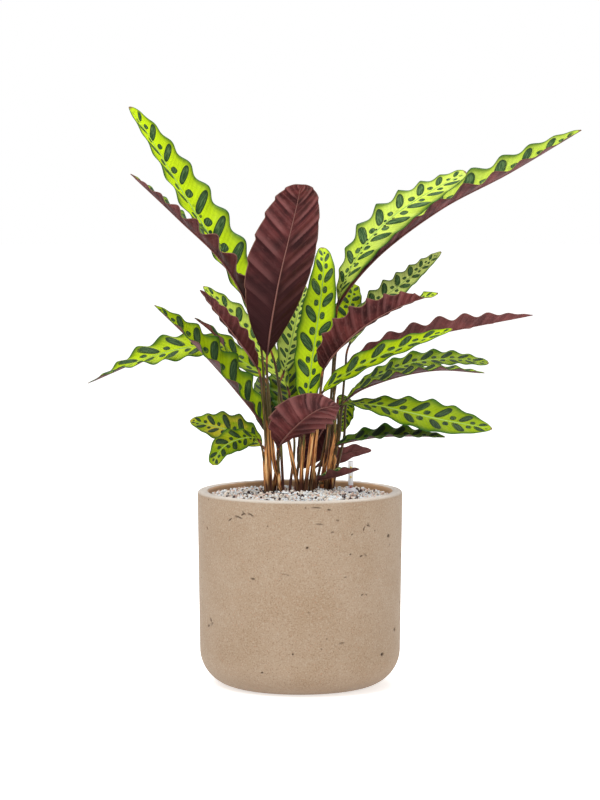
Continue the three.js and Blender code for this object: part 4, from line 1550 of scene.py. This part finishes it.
@dataclass
class Bowl:
    """The cast stone bowl, in millimetres."""

    height: float = 239.0
    rim_radius: float = 125.2
    wall_radius: float = 122.7
    corner_radius: float = 45.0
    wall: float = 14.0
    rim_round: float = 4.0
    sides: int = 200
    row: float = 4.0
    hidden_marks: int = 34
    mark_cuts: int = 5
    mark_margin: float = 2.5
    pit_depth: float = 1.6
    rim_band: float = 3.0
    rim_unevenness: float = 0.4

    def arc(
        self, radius: float, z: float, size: float, start: float, end: float, steps: int
    ) -> list[Point]:
        """Points on an arc of a size round a middle at a radius and a height, between two angles."""
        angles = (math.radians(start + (end - start) * i / steps) for i in range(steps + 1))
        return [(radius + size * math.cos(angle), 0.0, z + size * math.sin(angle)) for angle in angles]

    def profile(self) -> list[Point]:
        """The bowl's half section from the middle of its base, over the rim, to the middle of its floor.

        Returns:
            Its points in millimetres.
        """
        corner = self.wall_radius - self.corner_radius
        top = self.height - self.rim_round
        rim = self.rim_radius - self.rim_round
        inner_rim = self.rim_radius - self.wall + self.rim_round
        inner_corner = self.corner_radius - self.wall
        outer = self.arc(corner, self.corner_radius, self.corner_radius, -90, 0, 20)
        steps = round((top - self.corner_radius) / self.row)
        side = [
            (self.wall_radius + (self.rim_radius - self.wall_radius) * i / steps, 0.0,
             self.corner_radius + (top - self.corner_radius) * i / steps)
            for i in range(1, steps)
        ]
        over = self.arc(rim, top, self.rim_round, 0, 90, 7)
        over += self.arc(inner_rim, top, self.rim_round, 90, 180, 7)
        inner = self.arc(corner, self.corner_radius, inner_corner, 0, -90, 10)
        flat = [(corner * i / 10, 0.0, 0.0) for i in range(10)]
        return [*flat, *outer, *side, *over, *inner, (0.0, 0.0, self.wall)]

    def build(self) -> bpy.types.Object:
        """Builds the bowl with its pits and scuffs.

        Returns:
            The bowl.
        """
        bm = bmesh.new()
        chain = [bm.verts.new(Vector(point) * MM) for point in self.profile()]
        edges = [bm.edges.new(pair) for pair in zip(chain, chain[1:])]
        bmesh.ops.spin(
            bm, geom=chain + edges, cent=(0, 0, 0), axis=(0, 0, 1), angle=2 * math.pi,
            steps=self.sides, use_merge=True,
        )
        bmesh.ops.remove_doubles(bm, verts=bm.verts, dist=0.00001)
        bmesh.ops.recalc_face_normals(bm, faces=bm.faces)
        self.weather(bm)
        return Piece("stone_bowl").finish(bm, [StoneFinish().make()], Slot.STONE, "pot")

    def marks(self) -> list[Mark]:
        """The pits and cracks: those on the front, and others by chance on the sides and back.

        Returns:
            All marks.
        """
        rng = random.Random(SEED)
        hidden = [
            Mark(
                rng.uniform(78, 282), rng.uniform(30, 230), rng.choice((2.2, 4.5, 7, 11)),
                rng.uniform(0.8, 1.8), rng.uniform(-35, 35), rng.uniform(0.4, 1.0),
            )
            for _ in range(self.hidden_marks)
        ]
        return [*FRONT_MARKS, *hidden]

    def wall_at(self, mark: Mark) -> Vector:
        """The place on the outer wall where a mark lies.

        Args:
            mark: The mark.

        Returns:
            The place in metres.
        """
        rise = (mark.height - self.corner_radius) / (self.height - self.corner_radius)
        radius = self.wall_radius + (self.rim_radius - self.wall_radius) * max(0.0, rise)
        if mark.height < self.corner_radius:
            drop = self.corner_radius - mark.height
            radius = self.wall_radius - self.corner_radius + math.sqrt(self.corner_radius**2 - drop**2)
        turn = math.radians(mark.turn)
        return Vector((math.sin(turn) * radius, -math.cos(turn) * radius, mark.height)) * MM

    def dent(self, mark: Mark) -> Dent:
        """Lays a mark on the wall.

        Args:
            mark: The mark.

        Returns:
            The dent.
        """
        turn, tilt = math.radians(mark.turn), math.radians(mark.tilt)
        level = Vector((math.cos(turn), math.sin(turn), 0))
        along = level * math.cos(tilt) + Vector((0, 0, math.sin(tilt)))
        across = Vector((0, 0, math.cos(tilt))) - level * math.sin(tilt)
        return Dent(mark, self.wall_at(mark), along, across)

    def refine(self, bm: bmesh.types.BMesh, dent: Dent) -> None:
        """Cuts the wall's faces near a dent finer.

        Args:
            bm: The bowl.
            dent: The dent.
        """
        reach = dent.mark.length * MM / 2 + self.mark_margin * MM
        near = [face for face in bm.faces if (face.calc_center_median() - dent.middle).length < reach]
        edges = {edge for face in near for edge in face.edges}
        bmesh.ops.subdivide_edges(bm, edges=list(edges), cuts=self.mark_cuts, use_grid_fill=True)

    def weather(self, bm: bmesh.types.BMesh) -> None:
        """Sinks small pits and cracks into the outer wall and roughens the rim.

        Args:
            bm: The plain bowl.
        """
        dents = [self.dent(mark) for mark in self.marks()]
        for dent in dents:
            self.refine(bm, dent)
        bm.normal_update()
        layer = bm.verts.layers.float_color.new("trait")
        depths = [max(dent.depth_at(vert.co) for dent in dents) for vert in bm.verts]
        for vert, depth in zip(bm.verts, depths):
            top = max(0.0, 1 - abs(vert.co.z - self.height * MM) / (self.rim_band * MM))
            uneven = self.rim_unevenness * top * noise.noise(vert.co * 160)
            vert.co += vert.normal * (uneven - self.pit_depth * depth) * MM
            vert[layer] = (depth, top, 0.0, 1.0)


class Grains:
    """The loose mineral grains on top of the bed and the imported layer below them.

    ROW_SHARE, STRAY and CHIPPING are shares of the spacing and of a grain's size. LAYER_STEPS and SKIRT
    are in metres.
    """

    KINDS = (
        (GrainFinish("white", (252, 255, 255), (246, 252, 254)), 0.42),
        (GrainFinish("ivory", (255, 248, 236), (246, 232, 214)), 0.31),
        (GrainFinish("pink", (248, 220, 204), (232, 196, 178)), 0.15),
        (GrainFinish("dark", (84, 56, 52), (46, 30, 30)), 0.12),
    )
    SPACING = 4.1
    ROW_SHARE = 0.9
    STRAY = 0.45
    EDGE = 2.0
    FOOT_CLEARANCE = 1.6
    SMALLEST = 1.4
    COMMONEST = 1.9
    LARGEST = 2.6
    HEAPING = 1.9
    CHIPPING = 0.16
    LAYER_DEPTH = 2.2
    LAYER_STEPS = (0.02, 0.03)
    SKIRT = 0.02

    def __init__(self, bed: Granulate, gauge: "Gauge") -> None:
        """Sets up the grains on this bed, which leave the gauge's foot clear."""
        self.bed = bed
        self.gauge = gauge

    def build(self) -> list[bpy.types.Object]:
        """Scatters the grains, one piece for each kind.

        Returns:
            The pieces.
        """
        rng = random.Random(SEED)
        shapes = [bmesh.new() for _ in self.KINDS]
        shares = [share for _, share in self.KINDS]
        for x, y in self.spots(rng):
            kind = rng.choices(range(len(self.KINDS)), shares)[0]
            self.grain(shapes[kind], rng, x, y)
        made = []
        for bm, (finish, _) in zip(shapes, self.KINDS):
            piece = Piece("grains_" + finish.name)
            made.append(piece.finish(bm, [finish.make()], Slot.GRANULATE, smooth=False))
        made.append(self.under_layer())
        return made

    def spots(self, rng: random.Random) -> list[tuple[float, float]]:
        """Places on the bed, a jittered grid within its edge and clear of the gauge's foot.

        Args:
            rng: The source of chance.

        Returns:
            Places in millimetres.
        """
        reach = self.bed.reach - self.EDGE
        foot = self.gauge.foot_radius + self.FOOT_CLEARANCE
        rows = int(2 * reach / self.SPACING) + 1
        places = []
        for i in range(rows):
            for j in range(rows):
                stray_x = rng.uniform(-self.STRAY, self.STRAY) * self.SPACING
                stray_y = rng.uniform(-self.STRAY, self.STRAY) * self.SPACING
                x = -reach + (i + 0.5 * (j % 2)) * self.SPACING + stray_x
                y = -reach + j * self.SPACING * self.ROW_SHARE + stray_y
                clear = math.hypot(x - self.gauge.x, y - self.gauge.y) > foot
                if math.hypot(x, y) < reach and clear:
                    places.append((x, y))
        return places

    def grain(self, bm: bmesh.types.BMesh, rng: random.Random, x: float, y: float) -> None:
        """Adds one crushed grain.

        Args:
            bm: The kind's shape.
            rng: The source of chance.
            x: To the right, in millimetres.
            y: Away from the front, in millimetres.
        """
        size = rng.triangular(self.SMALLEST, self.LARGEST, self.COMMONEST) * MM
        angle = rng.uniform(0, 2 * math.pi)
        turn = Matrix.Rotation(angle, 4, Vector([rng.gauss(0, 1) for _ in range(3)]))
        sizes = [rng.uniform(least, most) for least, most in ((0.75, 1.3), (0.7, 1.1), (0.6, 1.0))]
        z = self.bed.height(x, y) + rng.uniform(-self.HEAPING, self.HEAPING)
        place = Matrix.Translation(Vector((x, y, z)) * MM)
        whole = place @ turn @ Matrix.Diagonal((*sizes, 1.0))
        made = bmesh.ops.create_icosphere(bm, subdivisions=1, radius=size, matrix=whole)
        for vert in made["verts"]:
            chip = Vector([rng.uniform(-1, 1) for _ in range(3)])
            vert.co += chip * size * self.CHIPPING

    def under_layer(self) -> bpy.types.Object:
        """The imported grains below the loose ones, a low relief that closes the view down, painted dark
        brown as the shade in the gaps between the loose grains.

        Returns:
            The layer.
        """
        bm = bmesh.new()
        bmesh.ops.create_circle(bm, cap_ends=True, segments=96, radius=self.bed.reach * MM)
        rim = list(bm.edges)
        for step in self.LAYER_STEPS:
            middle = max(bm.faces, key=lambda face: face.calc_area())
            bmesh.ops.inset_region(bm, faces=[middle], thickness=step)
        for vert in bm.verts:
            x, y = vert.co.x / MM, vert.co.y / MM
            vert.co.z = (self.bed.height(x, y) - self.LAYER_DEPTH) * MM
        skirt = bmesh.ops.extrude_edge_only(bm, edges=rim)
        for item in skirt["geom"]:
            if isinstance(item, bmesh.types.BMVert):
                item.co.z -= self.SKIRT
        bottom = [item for item in skirt["geom"] if isinstance(item, bmesh.types.BMEdge)]
        bmesh.ops.holes_fill(bm, edges=bottom, sides=0)
        bmesh.ops.recalc_face_normals(bm, faces=bm.faces)
        # Painted shade: the layer's dark brown stands for the shade between the loose grains.
        finish = GrainFinish("gap_shade", (116, 88, 78), (60, 40, 36)).make()
        return Piece("packed_grains").finish(bm, [finish], Slot.GRANULATE, "granulate")


@dataclass
class Gauge:
    """The clear water gauge with its cone foot, marks and red float, in millimetres."""

    x: float = 62.5
    y: float = 29.0
    column_radius: float = 3.1
    column_height: float = 32.7
    column_bore: float = 2.2
    cap: float = 1.2
    cone_height: float = 4.0
    cone_wall: float = 2.0
    shoulder: float = 3.0
    foot_radius: float = 9.5
    foot_thickness: float = 1.6
    shaft_radius: float = 7.0
    shaft_bore: float = 6.1
    shaft_bottom: float = 14.3
    float_above_cone: float = 3.0
    float_radius: float = 1.5
    float_body_radius: float = 5.2
    float_body_height: float = 40.0
    seat: float = 0.3
    marks: tuple[float, float] = (13.2, 25.0)
    mark_radii: tuple[float, float] = (2.1, 1.9)
    mark_thickness: float = 0.6
    mark_relief: float = 0.1
    sides: int = 48

    def lathe(self, profile: list[tuple[float, float]]) -> bmesh.types.BMesh:
        """Turns a half section round the gauge's axis.

        Args:
            profile: Radius and height of each point, in millimetres.

        Returns:
            The shape.
        """
        bm = bmesh.new()
        chain = [bm.verts.new(Vector((self.x + radius, self.y, z)) * MM) for radius, z in profile]
        edges = [bm.edges.new(pair) for pair in zip(chain, chain[1:])]
        bmesh.ops.spin(
            bm, geom=chain + edges, cent=(self.x * MM, self.y * MM, 0), axis=(0, 0, 1),
            angle=2 * math.pi, steps=self.sides, use_merge=True,
        )
        bmesh.ops.remove_doubles(bm, verts=bm.verts, dist=0.00001)
        bmesh.ops.recalc_face_normals(bm, faces=bm.faces)
        return bm

    def build(self, bed: Granulate) -> list[bpy.types.Object]:
        """Builds the gauge.

        Args:
            bed: The granulate it stands in.

        Returns:
            The pieces.
        """
        foot = bed.height(self.x, self.y) + self.seat
        cone = foot + self.foot_thickness + self.cone_height
        return [self.column(foot, cone), self.rod(cone + self.float_above_cone), self.level_marks(cone)]

    def column(self, foot: float, cone: float) -> bpy.types.Object:
        """The clear column with its foot and shaft.

        Args:
            foot: The height of the foot's underside, in millimetres.
            cone: The height of the cone's top.

        Returns:
            The column as one piece.
        """
        top = cone + self.column_height
        tip = cone + self.float_above_cone
        rim = foot + self.foot_thickness
        tube = [
            (0, top - self.cap), (self.column_bore, top - self.cap),
            (self.column_bore, tip), (self.column_bore, cone - self.cone_wall),
            (self.shaft_bore, foot - self.shoulder), (self.shaft_bore, self.shaft_bottom),
            (self.shaft_radius, self.shaft_bottom), (self.shaft_radius, foot),
            (self.foot_radius - 0.3, foot), (self.foot_radius, foot + 0.3),
            (self.foot_radius, rim - 0.3), (self.foot_radius - 0.4, rim),
            (self.column_radius + 0.5, cone - 0.3), (self.column_radius, cone + 0.5),
            (self.column_radius, tip), (self.column_radius, top - 0.5),
            (self.column_radius - 0.5, top), (0, top),
        ]
        body = self.lathe(tube)
        levels = (tip - 0.1, cone - 0.1, rim - 0.1)
        for face in body.faces:
            height = face.calc_center_median().z / MM
            face.material_index = sum(height < level for level in levels)
        # The frosted column and foot glow a little: painted light, though they are no lamp.
        finishes = [
            ClearFinish("frosted_column", (246, 246, 248), (236, 236, 240), 0.95, 0.07).make(),
            ClearFinish("clear_window", (250, 251, 253), (232, 232, 238), 0.08).make(),
            ClearFinish("frosted_foot", (246, 244, 252), (212, 206, 226), 0.94, 0.13).make(),
            ClearFinish("frosted_rim", (134, 128, 142), (104, 98, 114), 0.95).make(),
        ]
        return Piece("gauge_column").finish(body, finishes, Slot.CLEAR, "gauge_tube", False)

    def rod(self, tip: float) -> bpy.types.Object:
        """The float: a wide body low in the shaft and a thin red rod above it.

        Args:
            tip: The height of its tip, in millimetres.

        Returns:
            The float as one piece.
        """
        shoulder = self.shaft_bottom + self.float_body_height
        outline = [
            (0, self.shaft_bottom), (self.float_body_radius, self.shaft_bottom),
            (self.float_body_radius, shoulder), (self.float_radius, shoulder + 4),
            (self.float_radius, tip - 1), (self.float_radius * 0.6, tip - 0.2), (0, tip),
        ]
        red = MouldedFinish("float_red", (214, 84, 22), (190, 44, 34)).make()
        piece = Piece("gauge_float_rod", FLOAT_BODY)
        return piece.finish(self.lathe(outline), [red], Slot.FLOAT, "gauge_float", False)

    def level_marks(self, cone: float) -> bpy.types.Object:
        """The small raised yellow triangles on the column.

        Args:
            cone: The height of the cone's top, in millimetres.

        Returns:
            The marks as one piece.
        """
        bm = bmesh.new()
        front = self.y - self.column_radius - self.mark_relief
        upright = Matrix.Rotation(math.radians(90), 4, "X") @ Matrix.Rotation(math.radians(30), 4, "Z")
        low, high = self.mark_radii
        for height in self.marks:
            place = Matrix.Translation(Vector((self.x, front, cone + height)) * MM)
            bmesh.ops.create_cone(
                bm, cap_ends=True, segments=3, radius1=low * MM, radius2=high * MM,
                depth=self.mark_thickness * MM, matrix=place @ upright,
            )
        yellow = MouldedFinish("mark_yellow", (244, 214, 70), (232, 198, 54)).make()
        return Piece("gauge_marks").finish(bm, [yellow], Slot.CLEAR, smooth=False)


# --- Studio ---------------------------------------------------------------------------------
@dataclass
class Studio:
    """The pale floor, the soft lights and the long lens at the photograph's viewing angle."""

    distance: float = 4.0
    elevation: float = 6.5
    target_height: float = 0.239
    lens_pixels: float = 3270.0
    frame_height: float = 800.0
    target_row: float = 489.9
    sensor: float = 36.0
    floor_radius: float = 14.0
    floor_glow: float = 0.57
    daylight: float = 0.58
    aim_height: float = 0.35

    def build(self) -> None:
        """Builds the studio."""
        self.camera()
        self.floor()
        self.world()
        self.lamp("key", (-1.3, -2.2, 2.6), size=1.1, power=46)
        self.lamp("fill", (2.2, -2.0, 1.2), size=2.0, power=10)
        self.lamp("top", (0.3, 0.6, 2.7), size=1.6, power=42)

    def camera(self) -> None:
        """Places the camera so that the rim's middle lies where the photograph has it."""
        made = bpy.data.objects.new("camera", bpy.data.cameras.new("camera"))
        bpy.context.scene.collection.objects.link(made)
        made.data.sensor_fit = "VERTICAL"
        made.data.sensor_height = self.sensor
        made.data.lens = self.lens_pixels / self.frame_height * self.sensor
        made.data.clip_end = 60
        down = math.radians(self.elevation)
        back, up = self.distance * math.cos(down), self.distance * math.sin(down)
        made.location = (0, -back, self.target_height + up)
        rise = math.atan((self.target_row - self.frame_height / 2) / self.lens_pixels)
        made.rotation_euler = (math.pi / 2 - down + rise, 0, 0)
        bpy.context.scene.camera = made

    def floor(self) -> None:
        """Lays the pale floor."""
        bm = bmesh.new()
        bmesh.ops.create_circle(bm, cap_ends=True, segments=96, radius=self.floor_radius)
        mesh = bpy.data.meshes.new("floor")
        bm.to_mesh(mesh)
        bm.free()
        made = bpy.data.objects.new("floor", mesh)
        bpy.context.scene.collection.objects.link(made)
        g = Graph("pale_floor")
        white = g.mix(g.step(g.clouds(g.place(), 3.0), 0.3, 0.7), (250, 250, 250), (246, 246, 246))
        mesh.materials.append(
            g.surface(
                white, 0.9,
                Specular_IOR_Level=0.0, Emission_Color=(1, 1, 1, 1), Emission_Strength=self.floor_glow,
            )
        )

    def world(self) -> None:
        """Surrounds the scene with soft white light, seen as plain white behind it."""
        world = bpy.data.worlds.new("studio")
        world.use_nodes = True
        tree = world.node_tree
        tree.nodes.clear()
        out = tree.nodes.new("ShaderNodeOutputWorld")
        mixed = tree.nodes.new("ShaderNodeMixShader")
        paths = tree.nodes.new("ShaderNodeLightPath")
        for index, strength in ((1, self.daylight), (2, 1.0)):
            back = tree.nodes.new("ShaderNodeBackground")
            back.inputs["Color"].default_value = (1, 1, 1, 1)
            back.inputs["Strength"].default_value = strength
            tree.links.new(back.outputs[0], mixed.inputs[index])
        tree.links.new(paths.outputs["Is Camera Ray"], mixed.inputs[0])
        tree.links.new(mixed.outputs[0], out.inputs[0])
        bpy.context.scene.world = world
        bpy.context.scene.view_settings.view_transform = "Standard"

    def lamp(self, name: str, place: Point, size: float, power: float) -> None:
        """Hangs one soft light that points at the plant.

        Args:
            name: Its name.
            place: Where it hangs.
            size: Its side in metres.
            power: Its power in watts.
        """
        data = bpy.data.lights.new(name, "AREA")
        data.size = size
        data.energy = power
        made = bpy.data.objects.new(name, data)
        bpy.context.scene.collection.objects.link(made)
        made.location = place
        aim = Vector((0, 0, self.aim_height)) - Vector(place)
        made.rotation_euler = aim.to_track_quat("-Z", "Y").to_euler()


def main() -> None:
    """Builds the studio and every piece, and reports each one."""
    logging.basicConfig(level=logging.INFO, format="%(message)s")
    Studio().build()
    bed = Granulate()
    gauge = Gauge()
    pieces = [Bowl().build()]
    pieces += Grains(bed, gauge).build()
    pieces += gauge.build(bed)
    pieces += Foliage(bed).build()
    for piece in pieces:
        log.info("%s: %d faces", piece.name, len(piece.data.polygons))


if __name__ == "__main__":
    main()
